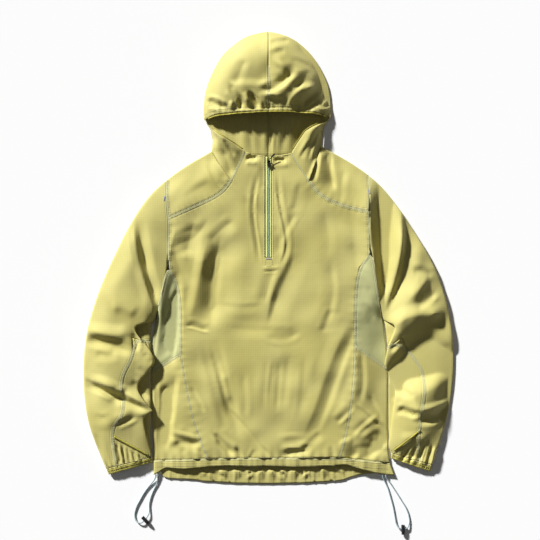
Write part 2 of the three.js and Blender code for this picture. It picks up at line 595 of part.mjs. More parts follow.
function sleeveRings(side) {
  const stations = range(STATIONS + 1).map((k) => along(SLEEVE_ROWS[side], k / STATIONS));
  const armhole = armholeRows(side);
  const last = armhole.length - 1;
  const chord = range(SLEEVE_TOP + 1).map((j) => mix(armhole[0], armhole[last], j / SLEEVE_TOP));
  const bend = armhole.map((p, j) => [p[0] - chord[j][0], p[1] - chord[j][1]]);
  return stations.map((row, k) => {
    const station = k / (stations.length - 1);
    const [outX, outY, lipX, lipY, lipZ, lowX, lowY, seam] = row;
    const fade = (1 - ease(station / RING.bend)) ** RING.bendPower;
    const split = lerp(FOREARM_COLUMN / SLEEVE_TOP, seam, ease(station / RING.split));
    const share = (j) => (j <= FOREARM_COLUMN ? (split * j) / FOREARM_COLUMN
      : lerp(split, 1, (j - FOREARM_COLUMN) / (SLEEVE_TOP - FOREARM_COLUMN)));
    const across = (target, j, u) => [lerp(outX, target[0], u) + bend[j][0] * fade,
      lerp(outY, target[1], u) + bend[j][1] * fade];
    const lip = [lipX, lipY];
    const low = [lowX, lowY];
    const width = Math.hypot(lipX - outX, lipY - outY);
    const radius = lerp(FOLD, SLEEVE_FOLD, ease(station / RING.fold));
    const top = range(SLEEVE_TOP + 1).map((j) => {
      const near = j === 0 ? radius / width : 0;
      const far = j === SLEEVE_TOP ? FOLD / width : 0;
      const u = clamp(k === 0 ? j / SLEEVE_TOP + near - far : share(j) + near - far);
      const [x, y] = k === 0 ? along(armhole, u) : across(lip, j, u);
      return [x, y, sleeveTop(side, x, y, u * width, (1 - u) * width, station, lipZ)];
    });
    const floor = SLEEVE_LOW.map((j) => {
      const u = j / SLEEVE_TOP;
      const wide = Math.hypot(lowX - outX, lowY - outY);
      const near = clamp(u, radius / wide, 1 - FOLD / wide);
      const [x, y] = k === 0 ? along(armhole, near) : across(low, j, near);
      return [x, y, 0];
    });
    const crest = top[0][2];
    const edge = k === 0 ? armhole[0] : [outX, outY];
    const inwards = (d) => mix(edge, [top[1][0], top[1][1]],
      d / Math.hypot(top[1][0] - edge[0], top[1][1] - edge[1]));
    const turn = Math.cos(THREE.MathUtils.degToRad(RING.turn));
    const outside = [[...inwards(radius * (1 - turn)), radius - radius * turn], [...inwards(0), radius],
      [...inwards(radius * (1 - turn)), radius + (crest - radius) * turn]];
    const brow = top[SLEEVE_TOP][2];
    const hook = ease(station / RING.hook);
    const lipHeight = lerp(FOLD, brow - FOLD - TUCK.drop, hook);
    const tuck = lerp(lipHeight - TUCK.startUp, Math.min(lipHeight - TUCK.up, TUCK.most), hook);
    const back = mix(lip, [outX, outY], (TUCK.in * hook + TUCK.inLeast) / width);
    const ledge = mix(low, [outX, outY], TUCK.ledge / width);
    const turnedUnder = [[...lip, lipHeight], [...back, Math.max(tuck, TUCK.least)],
      [...ledge, lerp(TUCK.ledgeLow, TUCK.ledgeHigh, hook)]];
    return [...top, ...turnedUnder, ...floor, ...outside];
  });
}

// Columns either side of one that give the way a ring runs, seen from above.
function neighbours(c, cols) {
  if (c >= cols - TURN.length || c === 0) return [0, 1];
  if (c >= SLEEVE_TOP && c <= SLEEVE_TOP + TURN.length) return [SLEEVE_TOP - 1, SLEEVE_TOP];
  return [c - 1, c + 1];
}

// Inner face of a tube: every point moved in by the wall, against the tube's own normals.
function inside(rings, thick) {
  const cols = rings[0].length;
  const at = (r, c) => new THREE.Vector3(...rings[clamp(r, 0, rings.length - 1)][(c + cols) % cols]);
  return rings.map((ring, r) => ring.map((point, c) => {
    const run = at(r + 1, c).sub(at(r - 1, c));
    const before = at(r, c).sub(at(r, c - 1));
    const after = at(r, c + 1).sub(at(r, c));
    const first = run.clone().cross(before.normalize()).normalize();
    const second = run.clone().cross(after.normalize()).normalize();
    const normal = first.clone().add(second);
    normal.multiplyScalar(1 / Math.max(MITRE.tube, 1 + first.dot(second)));
    if (point[2] === 0) return [point[0], point[1], Math.abs(thick)];
    if (r === 0 || r === rings.length - 1) {
      const [p, q] = neighbours(c, cols);
      const tangent = at(r, q).sub(at(r, p));
      const level = new THREE.Vector3(-tangent.y, tangent.x, 0).normalize();
      normal.addScaledVector(level, -normal.dot(level)).normalize();
    }
    return [point[0] + normal.x * thick, point[1] + normal.y * thick, point[2] + normal.z * thick];
  }));
}

function makeSleeve(side) {
  const rings = sleeveRings(side);
  const way = side === 'left' ? -1 : 1;
  const hollow = inside(rings, way * CLOTH);
  const forearm = (r, c) => r >= FOREARM_ROW && c >= FOREARM_COLUMN && c <= SLEEVE_TOP + TURN.length;
  add(`sleeve_${side}`, wall(rings, hollow, (r, c) => !forearm(r, c), true), SHELL);
  add(`forearm_${side}`, wall(rings.slice(FOREARM_ROW), hollow.slice(FOREARM_ROW),
    (r, c) => forearm(r + FOREARM_ROW, c), true, FOREARM_BACK), SHELL);
  makeCuff(side, rings[rings.length - 1], way);
  makeCuffBinding(side, rings);
}

// Cuff: a gathered casing that carries on the sleeve's last ring.
function makeCuff(side, ring, way) {
  const [outX, outY, lipX, lipY] = SLEEVE_ROWS[side].at(-1);
  const [outEnd, lipEnd] = CUFF_END[side];
  const rings = range(CUFF_STEPS + 1).map((s) => ring.map(([x, y, z]) => {
    const u = clamp(Math.hypot(x - outX, y - outY) / Math.hypot(lipX - outX, lipY - outY));
    const base = mix([outX, outY], [lipX, lipY], u);
    const target = mix(outEnd, lipEnd, u);
    const t = s / CUFF_STEPS;
    const rim = Math.min(z, MOUTH.rim + MOUTH.swell * Math.sin(Math.PI * u));
    return [x + (target[0] - base[0]) * t, y + (target[1] - base[1]) * t, z > 0 ? lerp(z, rim, t) : 0];
  }));
  const pleated = (grid) => grid.map((row, s) => row.flatMap((point, c) => {
    if (c >= SLEEVE_TOP) return [point];
    return range(GATHERS.cuffCells).map((i) => {
      const [x, y, z] = mix(point, row[c + 1], i / GATHERS.cuffCells);
      const wave = s * c > 0 ? Math.sin((2 * Math.PI * i) / GATHERS.cuffCells) : 0;
      return [x, y, z - GATHERS.cuffHeight * wave];
    });
  }));
  const hollow = inside(rings, way * CLOTH);
  add(`cuff_${side}`, wall(pleated(rings), pleated(hollow), () => true, true), SHELL);
}

// Binding of the slanted cuff seam: a low strip on the forearm panel.
function makeCuffBinding(side, rings) {
  const [start, end] = BINDING_ROWS[side];
  const middle = range(STRIP.steps + 1).map((i) => (
    mix(start, end, STRIP.from + (STRIP.span * i) / STRIP.steps)));
  const across = new THREE.Vector2(end[1] - start[1], start[0] - end[0]).normalize();
  const surface = surfaceUnder(rings);
  const grid = middle.map(([x, y]) => [-STRIP.half, STRIP.half].map((off) => (
    [x + across.x * off, y + across.y * off])));
  const outer = grid.map((row) => row.map(([x, y]) => [x, y, surface(x, y) + AIR + CLOTH]));
  const lower = outer.map((row) => row.map(([x, y, z]) => [x, y, z - CLOTH + STRIP.sunk]));
  add(`cuff_binding_${side}`, wall(outer, lower, () => true, false, 0), BINDING);
}

// Highest point of a sleeve's upper layer over a place, from the facets of its rings.
function surfaceUnder(rings) {
  const under = rings.map((ring) => ring.map(([x, y, z]) => [x, y, z - PROBE.skin]));
  const mesh = new THREE.Mesh(wall(rings, under, (r, c) => c < SLEEVE_TOP, false, 0),
    new THREE.MeshBasicMaterial({ side: THREE.DoubleSide }));
  const ray = new THREE.Raycaster();
  return (x, y) => {
    const near = [[0, 0], [1, 0], [-1, 0], [0, 1], [0, -1]].map(([dx, dy]) => {
      const from = new THREE.Vector3(x + dx * PROBE.reach, y + dy * PROBE.reach, PROBE.above);
      ray.set(from, new THREE.Vector3(0, 0, -1));
      return ray.intersectObject(mesh)[0]?.point.z ?? 0;
    });
    return Math.max(...near);
  };
}

// Hood: each half runs from the face edge over the crown and down the back to the neck seam.
function crownHeight(x, y, from, length, station) {
  const corner = 2 * FOLD + BROW.rise;
  const brow = lerp(corner, FACE, Math.sin((Math.PI / 2) * station) ** BROW.power);
  const loft = lerp(brow, lerp(BROW.corner, CROWN, ease(station * BROW.widen)), ease(from * BROW.deepen));
  const rise = 1 - (1 - clamp(length / BROW.edge)) ** BROW.round;
  const creases = relief(CROWN_FOLDS, x, y) * ease(length / BROW.foldFade);
  return 2 * FOLD + (loft - 2 * FOLD) * rise + creases;
}

function makeHood(side) {
  const face = range(CROWN_STATIONS + 1).map((k) => along(FACE_ROWS[side], k / CROWN_STATIONS));
  const ridge = face.map((_, k) => along(CROWN_ROWS[side], k / CROWN_STATIONS));
  const middle = BACK_NECK.length >> 1;
  const neckRows = side === 'left' ? BACK_NECK.slice(0, middle + 1) : BACK_NECK.slice(middle).reverse();
  const neck = face.map((_, k) => along(neckRows, k / (face.length - 1)));
  const corner = [CROWN_ROWS[side][0], ...FLAP_OUT[side].slice(1, FLAP_SHOULDER + 1)];
  const outer = [];
  const inner = [];
  face.forEach((a, k) => {
    const station = k / (face.length - 1);
    const b = ridge[k];
    const length = Math.hypot(a[0] - b[0], a[1] - b[1]);
    const top = range(CROWN_COLUMNS + 1).map((c) => mix(a, b, c / CROWN_COLUMNS));
    const floor = range(NAPE_COLUMNS + 1).map((c) => (k === 0
      ? along(corner, c / NAPE_COLUMNS) : mix(b, neck[k], c / NAPE_COLUMNS)));
    const height = (x, y) => {
      const left = Math.hypot(x - b[0], y - b[1]);
      return crownHeight(x, y, 1 - left / length, left, station);
    };
    const [o, i] = wrapRow(top, b, floor, height, true);
    outer.push(o);
    inner.push(i);
  });
  add(`hood_${side}`, wall(outer, inner), SHELL);
  return outer.map((row) => row[0]);
}

function makeHoodSide(side) {
  const out = finer(FLAP_OUT[side], ROWS);
  const into = finer(FLAP_IN[side], ROWS);
  const grid = out.map((a, k) => range(FLAP_COLUMNS + 1).map((c) => (
    k === out.length - 1 ? along(NECK_ROWS[side], c / FLAP_COLUMNS) : mix(a, into[k], c / FLAP_COLUMNS))));
  const outer = grid.map((row, k) => row.map(([x, y], c) => {
    const down = k / (out.length - 1);
    const across = c / FLAP_COLUMNS;
    const body = bodyTop(x, y);
    const rim = lerp(FLAP.rim, body, ease((k - FLAP.rimRow) / FLAP.rimRows));
    const swell = FLAP.swell * Math.sin(Math.PI * clamp(across * FLAP.swellWide + FLAP.swellFrom))
      * Math.sin(Math.PI * clamp(down, FLAP.swellLeast, 1));
    const cheek = lerp(FLAP.cheek, body, ease((down - FLAP.cheekTo) / (1 - FLAP.cheekTo)));
    const opening = lerp(FLAP.corner, cheek, ease(down / FLAP.cornerTo));
    const level = lerp(rim, opening, ease(across * FLAP.across)) + swell * ease(across * FLAP.swellIn);
    return [x, y, k === out.length - 1 ? body : Math.max(level, FLAP.rim)];
  }));
  const inner = outer.map((row) => row.map(([x, y, z]) => [x, y, z - CLOTH]));
  add(`hood_side_${side}`, wall(outer, inner), SHELL);
  return outer.map((row) => row[FLAP_COLUMNS]);
}

// Rounded strip along an edge: a small section carried from point to point.
function edging(path, half, tall, outward) {
  const [flank, waist] = [half * EDGING.flank, tall * EDGING.waist];
  const section = [[-half, 0], [-flank, waist], [flank, waist], [half, 0], [flank, -waist], [-flank, -waist]];
  const last = path.length - 1;
  const shown = [...path.slice(0, -1), mix(path[last], path[last - 1], EDGING.end)];
  const rings = shown.map((point, k) => {
    const before = path[Math.max(0, k - 1)];
    const after = path[Math.min(path.length - 1, k + 1)];
    const run = new THREE.Vector2(after[0] - before[0], after[1] - before[1]).normalize();
    const away = new THREE.Vector2(run.y, -run.x).multiplyScalar(outward);
    const reach = half + SEAM + AIR;
    return section.map(([s, z]) => [point[0] + away.x * (s + reach), point[1] + away.y * (s + reach),
      point[2] - CLOTH / 2 + z]);
  });
  return solidRings(rings);
}

// Solid through closed rings, with flat ends.
function solidRings(rings) {
  const cols = rings[0].length;
  const positions = rings.flat(2);
  const faces = [];
  for (const r of range(rings.length - 1)) {
    for (const c of range(cols)) {
      const [a, b] = [r * cols + c, r * cols + ((c + 1) % cols)];
      faces.push(a, b, b + cols, a, b + cols, a + cols);
    }
  }
  const last = (rings.length - 1) * cols;
  for (const c of range(cols - 2)) faces.push(0, c + 2, c + 1, last, last + c + 1, last + c + 2);
  return closed(positions, faces);
}

// Hem casings: doubled cloth, drawn into waves by the cord inside.
function makeHems() {
  const top = [EDGE_ROWS.left[0], SEAM_ROWS.left[0], SEAM_ROWS.right[0], EDGE_ROWS.right[0]];
  const casing = (edge, rest, name) => {
    const grid = range(HEM_CELLS.down + 1).map((s) => range(HEM_CELLS.across + 1).map((c) => {
      const share = c / HEM_CELLS.across;
      const upper = lerp(top[0][0], top[3][0], share);
      const lower = lerp(edge[0][0], edge[edge.length - 1][0], share);
      return mix([upper, readAt(top, 0, upper)], [lower, readAt(edge, 0, lower)], s / HEM_CELLS.down);
    }));
    const outer = grid.map((row, s) => row.map(([x, y]) => {
      const drift = GATHERS.drift * Math.sin(x / GATHERS.driftPitch);
      const wave = GATHERS.height * Math.sin((2 * Math.PI * x) / GATHERS.hem + drift);
      const t = s / HEM_CELLS.down;
      return [x, y, rest(x, t) + wave * Math.sin(Math.PI * lerp(GATHERS.from, GATHERS.to, t))];
    }));
    const inner = outer.map((row) => row.map(([x, y, z]) => [x, y, name === 'hem_back' ? 0 : z - CASING]));
    add(name, wall(outer, inner), SHELL);
  };
  const flat = (x) => 1 - ease((Math.abs(x - HEM_FRONT.centre) - HEM_FRONT.flat) / HEM_FRONT.fade);
  const rise = HEM_FRONT.middle - HEM_FRONT.side;
  casing(FRONT_HEM, (x, t) => HEM_FRONT.side + (rise - HEM_FRONT.drop * t) * flat(x), 'hem_front');
  casing(BACK_HEM, (x, t) => HEM_BACK.top + HEM_BACK.swell * t, 'hem_back');
}

// Zip: two tapes and the closed chain in the slot, then slider and pull tab.
function makeZip() {
  const strip = (name, x1, x2, top, raise, thick, finish) => {
    const grid = range(ZIP.rows + 1).map((r) => {
      const y = lerp(ZIP.bottom + AIR, top, r / ZIP.rows);
      return [x1, x2].map((x) => [x, y]);
    });
    const outer = grid.map((row) => row.map(([x, y]) => [x, y, bodyTop(ZIP.x, y) + raise]));
    const inner = outer.map((row) => row.map(([x, y, z]) => [x, y, z - thick]));
    add(name, wall(outer, inner, () => true, false, 0), finish);
  };
  const edge = ZIP.slot - 2 * AIR;
  const half = ZIP.chain;
  strip('zip_tape_left', ZIP.x - edge, ZIP.x - half - AIR, ZIP.tapeTop, -ZIP.sunk, ZIP.tape, TAPE);
  strip('zip_tape_right', ZIP.x + half + AIR, ZIP.x + edge, ZIP.tapeTop, -ZIP.sunk, ZIP.tape, TAPE);
  const coil = ZIP.tape + ZIP.raise;
  strip('zip_chain', ZIP.x - half, ZIP.x + half, ZIP.chainTop, ZIP.raise - ZIP.sunk, coil, COIL);
  const level = bodyTop(ZIP.x, SLIDER.y) + ZIP.raise + AIR;
  const body = new THREE.Shape();
  body.moveTo(-SLIDER.wide / 2, SLIDER.long / 2);
  body.lineTo(SLIDER.wide / 2, SLIDER.long / 2);
  body.lineTo(SLIDER.wide * SLIDER.nose, -SLIDER.long / 2);
  body.lineTo(-SLIDER.wide * SLIDER.nose, -SLIDER.long / 2);
  body.closePath();
  const block = new THREE.ExtrudeGeometry(body, { depth: SLIDER.tall, bevelEnabled: false });
  const turn = THREE.MathUtils.degToRad(TAB.turn);
  const ears = [-1, 1].map((way) => {
    const ear = new THREE.BoxGeometry(SLIDER.ear, SLIDER.earLong, SLIDER.earRise + SLIDER.earSunk);
    const height = SLIDER.tall + (SLIDER.earRise - SLIDER.earSunk) / 2;
    ear.translate(way * (TAB.wide / 2 + AIR + SLIDER.ear / 2), 0, height);
    ear.rotateZ(turn);
    return ear.translate(0, SLIDER.pivot, 0);
  });
  const slider = fromManifold(ears.reduce((solid, ear) => solid.add(manifold(ear)), manifold(block)));
  slider.translate(ZIP.x, SLIDER.y, level);
  add('zip_slider', slider, BLACK);
  const tab = new THREE.Shape();
  tab.moveTo(TAB.wide / 2, -TAB.hub);
  tab.absarc(0, TAB.long - TAB.wide / 2, TAB.wide / 2, 0, Math.PI);
  tab.lineTo(-TAB.wide / 2, -TAB.hub);
  const pull = new THREE.ExtrudeGeometry(tab, { depth: TAB.thick, bevelEnabled: false,
    curveSegments: TAB.segments });
  pull.rotateZ(turn);
  pull.translate(ZIP.x, SLIDER.y + SLIDER.pivot, level + SLIDER.tall + TAB.lift);
  add('zip_pull_tab', merged(pull), BLACK);
}

// Solid with its shared corners joined.
function merged(geometry) {
  const bare = geometry.clone();
  bare.deleteAttribute('normal');
  bare.deleteAttribute('uv');
  return mergeVertices(bare, JOIN);
}

function manifold(geometry) {
  const clean = merged(geometry);
  return new wasm.Manifold(new wasm.Mesh({ numProp: 3, vertProperties: clean.attributes.position.array,
    triVerts: new Uint32Array(clean.index.array) }));
}

function fromManifold(solid) {
  const { vertProperties, triVerts } = solid.getMesh();
  const geometry = new THREE.BufferGeometry();
  geometry.setAttribute('position', new THREE.BufferAttribute(vertProperties, 3));
  geometry.setIndex(new THREE.BufferAttribute(triVerts, 1));
  return geometry;
}

// Drawcord loop and the toggle that it runs through.
function makeDrawcord(side) {
  const curve = new THREE.CatmullRomCurve3(CORD_ROWS[side].map((row) => new THREE.Vector3(...row)), false,
    'centripetal');
  const section = new THREE.Shape(range(CORD.sides).map((i) => {
    const turn = (2 * Math.PI * (i + 0.5)) / CORD.sides;
    return new THREE.Vector2(CORD.radius * Math.cos(turn), CORD.radius * Math.sin(turn));
  }));
  const cord = new THREE.ExtrudeGeometry(section, { steps: CORD.steps, extrudePath: curve,
    bevelEnabled: false });
  add(`drawcord_${side}`, merged(cord), DRAWCORD);
  const place = TOGGLES[side];
  const barrel = new THREE.CylinderGeometry(TOGGLE.radius, TOGGLE.radius * TOGGLE.taper, TOGGLE.body,
    TOGGLE.sides);
  const button = new THREE.CylinderGeometry(TOGGLE.buttonRadius, TOGGLE.buttonRadius, TOGGLE.button,
    TOGGLE.sides);
  button.translate(0, (TOGGLE.body + TOGGLE.button) / 2 - TOGGLE.sunk, 0);
  const hole = new THREE.CylinderGeometry(TOGGLE.hole, TOGGLE.hole, TOGGLE.through, TOGGLE.sides);
  hole.rotateZ(Math.PI / 2);
  const toggle = fromManifold(manifold(barrel).add(manifold(button)).subtract(manifold(hole)));
  toggle.rotateZ(-Math.PI / 2);
  toggle.rotateZ(THREE.MathUtils.degToRad(place.turn));
  toggle.translate(place.x, place.y, place.z);
  add(`toggle_${side}`, toggle, BLACK);
}

makeFront();
makeBack();
makeHems();
makeZip();
for (const side of ['left', 'right']) {
  makeSides(side);
  makeYoke(side);
  makeSleeve(side);
  const brow = makeHood(side);
  const opening = makeHoodSide(side);
  const outward = side === 'left' ? 1 : -1;
  add(`hood_binding_${side}`, edging(brow.slice(1), EDGING.brow, EDGING.browTall, outward), BINDING);
  add(`hood_side_binding_${side}`, edging(opening.slice(2, -1), EDGING.side, EDGING.sideTall, -outward),
    BINDING);
  makeDrawcord(side);
}

export default anorak;
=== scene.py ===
"""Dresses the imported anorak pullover, laid flat on its back, as the photograph shows it.

Lengths in the tables are millimetres in the part's own frame: +X to the viewer's right,
+Y from the hem to the hood, +Z up from the surface.
"""
import logging
import math
from abc import ABC, abstractmethod
from dataclasses import dataclass
from enum import Enum
from typing import Sequence

import bmesh
import bpy
import numpy as np
from mathutils import Matrix, Vector
from mathutils.bvhtree import BVHTree


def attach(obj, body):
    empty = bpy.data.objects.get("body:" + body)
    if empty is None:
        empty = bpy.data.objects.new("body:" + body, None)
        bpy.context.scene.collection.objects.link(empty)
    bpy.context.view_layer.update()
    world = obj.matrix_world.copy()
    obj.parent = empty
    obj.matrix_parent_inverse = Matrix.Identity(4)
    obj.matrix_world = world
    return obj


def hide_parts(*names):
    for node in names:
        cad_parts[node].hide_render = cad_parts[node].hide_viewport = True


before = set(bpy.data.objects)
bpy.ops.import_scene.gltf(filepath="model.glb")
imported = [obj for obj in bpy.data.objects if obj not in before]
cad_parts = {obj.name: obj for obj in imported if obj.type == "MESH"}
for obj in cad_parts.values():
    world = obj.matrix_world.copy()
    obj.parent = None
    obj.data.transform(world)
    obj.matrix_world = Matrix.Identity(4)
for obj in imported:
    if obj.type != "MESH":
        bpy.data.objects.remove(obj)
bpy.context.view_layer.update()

MM = 0.001
LOG = logging.getLogger("anorak")
Path = Sequence[tuple[float, float]]


class Hold(Enum):
    """How a sheet of cloth is held."""

    LAID = "laid"
    FOLDED = "folded"
    GATHERED = "gathered"


class Slot(Enum):
    """Material slots of the record."""

    SHELL = "shell_cloth"
    GUSSET = "gusset_cloth"
    BINDING = "binding"
    TAPE = "zip_tape"
    COIL = "zip_coil"
    BLACK = "black_plastic"
    CORD = "drawcord"


# Finishes


@dataclass(frozen=True)
class ClothFinish:
    """A woven or knitted cloth.

    Attributes are colours as linear RGB, the pitch of the check in metres, and bump strengths.
    """

    name: str
    slot: Slot
    light: tuple[float, float, float]
    deep: tuple[float, float, float]
    thread: tuple[float, float, float]
    pitch: float
    weave: float
    crinkle: float
    roughness: float
    sheen: float


@dataclass(frozen=True)
class PlasticFinish:
    """A moulded plastic."""

    name: str
    slot: Slot
    colour: tuple[float, float, float]
    roughness: float
    grain: float


def srgb(red: int, green: int, blue: int) -> tuple[float, float, float]:
    """Linear colour of a display colour from 0 to 255."""
    return tuple((v / 255 / 12.92) if v <= 10 else ((v / 255 + 0.055) / 1.055) ** 2.4
                 for v in (red, green, blue))


SHELL = ClothFinish("shell_ripstop", Slot.SHELL, srgb(199, 190, 117), srgb(182, 172, 94),
                    srgb(190, 188, 138), 0.0050, 0.10, 0.16, 0.72, 0.15)
GUSSET = ClothFinish("gusset_stretch", Slot.GUSSET, srgb(184, 185, 130), srgb(170, 171, 112),
                     srgb(188, 192, 154), 0.0024, 0.10, 0.18, 0.85, 0.2)
BINDING = ClothFinish("elastic_binding", Slot.BINDING, srgb(184, 174, 66), srgb(146, 136, 42),
                      srgb(214, 205, 90), 0.0030, 0.25, 0.2, 0.55, 0.1)
TAPE = ClothFinish("zip_tape", Slot.TAPE, srgb(226, 230, 150), srgb(206, 214, 128),
                   srgb(235, 242, 150), 0.0016, 0.25, 0.05, 0.7, 0.1)
THREAD = ClothFinish("sewing_thread", Slot.SHELL, srgb(196, 194, 142), srgb(178, 176, 122),
                     srgb(196, 194, 142), 0.0010, 0.1, 0.0, 0.6, 0.1)
SEAM_THREAD = ClothFinish("flat_seam_thread", Slot.SHELL, srgb(194, 192, 138), srgb(176, 174, 118),
                          srgb(194, 192, 138), 0.0011, 0.5, 0.0, 0.75, 0.1)
TACK = ClothFinish("bar_tack_thread", Slot.SHELL, srgb(150, 155, 190), srgb(130, 135, 175),
                   srgb(150, 155, 190), 0.0010, 0.2, 0.0, 0.6, 0.1)
CORD = ClothFinish("braided_cord", Slot.CORD, srgb(158, 176, 182), srgb(120, 140, 148),
                   srgb(170, 186, 190), 0.0020, 0.6, 0.0, 0.7, 0.2)
COIL = PlasticFinish("coil_plastic", Slot.COIL, srgb(166, 192, 158), 0.45, 0.05)
BLACK = PlasticFinish("black_plastic", Slot.BLACK, srgb(22, 22, 24), 0.38, 0.08)


class Materials:
    """Builds each finish once, from shared node groups."""

    THREAD_POWER = 6.0        # narrows the waves of the check to threads
    # Scale, detail and distortion of the rumple, the grain and the tone
    NOISES = ((26.0, 3.0, 1.2), (75.0, 2.0, 0.6), (9.0, 2.0, 0.4))
    RUMPLE, GRAIN = -2.0, 0.45
    BAND_WIDTH, BAND_BLEND = 6.0, 0.3
    NEEDLE_ROWS = (1.8, 5.0)  # mm from the seam
    TONE_GAIN, TONE_SHIFT, CHECK_TONE = 1.8, -0.4, 0.35
    BAND_TONE, NEEDLE_DIP = 0.75, -0.35
    CLOTH_BUMP, CLOTH_RELIEF = 0.55, 0.0022
    GRAIN_SCALE, GRAIN_RELIEF = 900.0, 0.0003
    ROUGH_RANGE, ROUGH_SHIFT = 0.15, 0.07
    PALER, PALER_SHIFT = 1.5, 0.01

    def __init__(self) -> None:
        """Starts with no material built."""
        self.made: dict[str, bpy.types.Material] = {}

    @staticmethod
    def group(name: str, inputs: Sequence[str], outputs: Sequence[str]) -> bpy.types.NodeTree:
        """A new shader node group with named sockets.

        Args:
            name: Name of the group.
            inputs: Names of its inputs. One called Vector is a vector, the others are numbers.
            outputs: Names of its outputs.

        Returns:
            The group, with its input and output nodes placed.
        """
        tree = bpy.data.node_groups.new(name, "ShaderNodeTree")
        for way, labels in (("INPUT", inputs), ("OUTPUT", outputs)):
            for label in labels:
                kind = "NodeSocketVector" if label == "Vector" else "NodeSocketFloat"
                tree.interface.new_socket(name=label, in_out=way, socket_type=kind)
        tree.nodes.new("NodeGroupInput")
        tree.nodes.new("NodeGroupOutput")
        return tree

    @staticmethod
    def wire(tree: bpy.types.NodeTree, node: bpy.types.Node, values: dict[str | int, object]) -> bpy.types.Node:
        """Sets or links inputs of a node.

        Args:
            tree: The tree that it is in.
            node: The node.
            values: A value or an output socket by the input's name or number.

        Returns:
            The same node.
        """
        for label, value in values.items():
            if isinstance(value, bpy.types.NodeSocket):
                tree.links.new(value, node.inputs[label])
            else:
                node.inputs[label].default_value = value
        return node

    def maths(self, tree: bpy.types.NodeTree, operation: str, *values: object) -> bpy.types.NodeSocket:
        """One Math node.

        Args:
            tree: The tree that it goes into.
            operation: The node's operation.
            values: A number or an output socket for each input.

        Returns:
            The node's output.
        """
        node = tree.nodes.new("ShaderNodeMath")
        node.operation = operation
        return self.wire(tree, node, dict(enumerate(values))).outputs[0]

    def mix(self, tree: bpy.types.NodeTree, values: dict[str | int, object]) -> bpy.types.NodeSocket:
        """One Mix node for colours.

        Args:
            tree: The tree that it goes into.
            values: A value or an output socket by the input's name.

        Returns:
            The mixed colour.
        """
        node = tree.nodes.new("ShaderNodeMix")
        node.data_type = "RGBA"
        return self.wire(tree, node, values).outputs["Result"]

    def weave(self) -> bpy.types.NodeTree:
        """Group of the ripstop check and fine crinkles.

        Returns:
            The group: Vector, Pitch, Weave and Crinkle in; Height, Check and Tone out.
        """
        found = bpy.data.node_groups.get("cloth_weave")
        if found:
            return found
        tree = self.group("cloth_weave", ("Vector", "Pitch", "Weave", "Crinkle"), ("Height", "Check", "Tone"))
        into = tree.nodes["Group Input"].outputs
        split = self.wire(tree, tree.nodes.new("ShaderNodeSeparateXYZ"), {0: into["Vector"]})
        bands = []
        for axis in ("X", "Y"):
            turns = self.maths(tree, "DIVIDE", split.outputs[axis], into["Pitch"])
            wave = self.maths(tree, "COSINE", self.maths(tree, "MULTIPLY", turns, 2 * math.pi))
            half = self.maths(tree, "MULTIPLY_ADD", wave, 0.5, 0.5)
            bands.append(self.maths(tree, "POWER", half, self.THREAD_POWER))
        check = self.maths(tree, "MAXIMUM", *bands)
        rumple, grain, tone = (self.wire(tree, tree.nodes.new("ShaderNodeTexNoise"), {
            "Scale": scale, "Detail": detail, "Distortion": distortion, "Vector": into["Vector"],
        }).outputs["Fac"] for scale, detail, distortion in self.NOISES)
        ridged = self.maths(tree, "ABSOLUTE", self.maths(tree, "SUBTRACT", rumple, 0.5))
        fine = self.maths(tree, "MULTIPLY_ADD", ridged, self.RUMPLE,
                          self.maths(tree, "MULTIPLY", grain, self.GRAIN))
        soft = self.maths(tree, "MULTIPLY", fine, into["Crinkle"])
        height = self.maths(tree, "MULTIPLY_ADD", check, into["Weave"], soft)
        self.wire(tree, tree.nodes["Group Output"], {"Height": height, "Check": check, "Tone": tone})
        return tree

    def stitches(self) -> bpy.types.NodeTree:
        """Group of the sewn bands beside a seam.

        Returns:
            The group: Gap (mm from the seam) in; Band (pale pressed band) and Dip (needle rows) out.
        """
        found = bpy.data.node_groups.get("sewn_bands")
        if found:
            return found
        tree = self.group("sewn_bands", ("Gap",), ("Band", "Dip"))
        gap = tree.nodes["Group Input"].outputs["Gap"]
        share = self.maths(tree, "DIVIDE", gap, self.BAND_WIDTH)
        band = self.maths(tree, "SUBTRACT", 1.0, self.maths(tree, "SMOOTH_MIN", share, 1.0, self.BAND_BLEND))
        rows = []
        for place in self.NEEDLE_ROWS:
            away = self.maths(tree, "ABSOLUTE", self.maths(tree, "SUBTRACT", gap, place))
            rows.append(self.maths(tree, "SUBTRACT", 1.0, self.maths(tree, "MINIMUM", away, 1.0)))
        self.wire(tree, tree.nodes["Group Output"], {"Band": self.maths(tree, "MAXIMUM", band, 0.0),
                                                     "Dip": self.maths(tree, "MAXIMUM", *rows)})
        return tree

    def shaded(self, tree: bpy.types.NodeTree, surface: dict[str, object], height: bpy.types.NodeSocket,
               strength: float, distance: float) -> None:
        """Sets the tree's shader and gives it a bump.

        Args:
            tree: The material's tree.
            surface: The shader's inputs.
            height: What the bump follows.
            strength: The bump's strength.
            distance: The bump's height in metres.
        """
        bump = self.wire(tree, tree.nodes.new("ShaderNodeBump"),
                         {"Strength": strength, "Distance": distance, "Height": height})
        self.wire(tree, tree.nodes["Principled BSDF"], {**surface, "Normal": bump.outputs["Normal"]})

    def started(self, name: str) -> bpy.types.NodeTree:
        """Tree of a new material, which is kept under its name."""
        material = self.made[name] = bpy.data.materials.new(name)
        material.use_nodes = True
        return material.node_tree

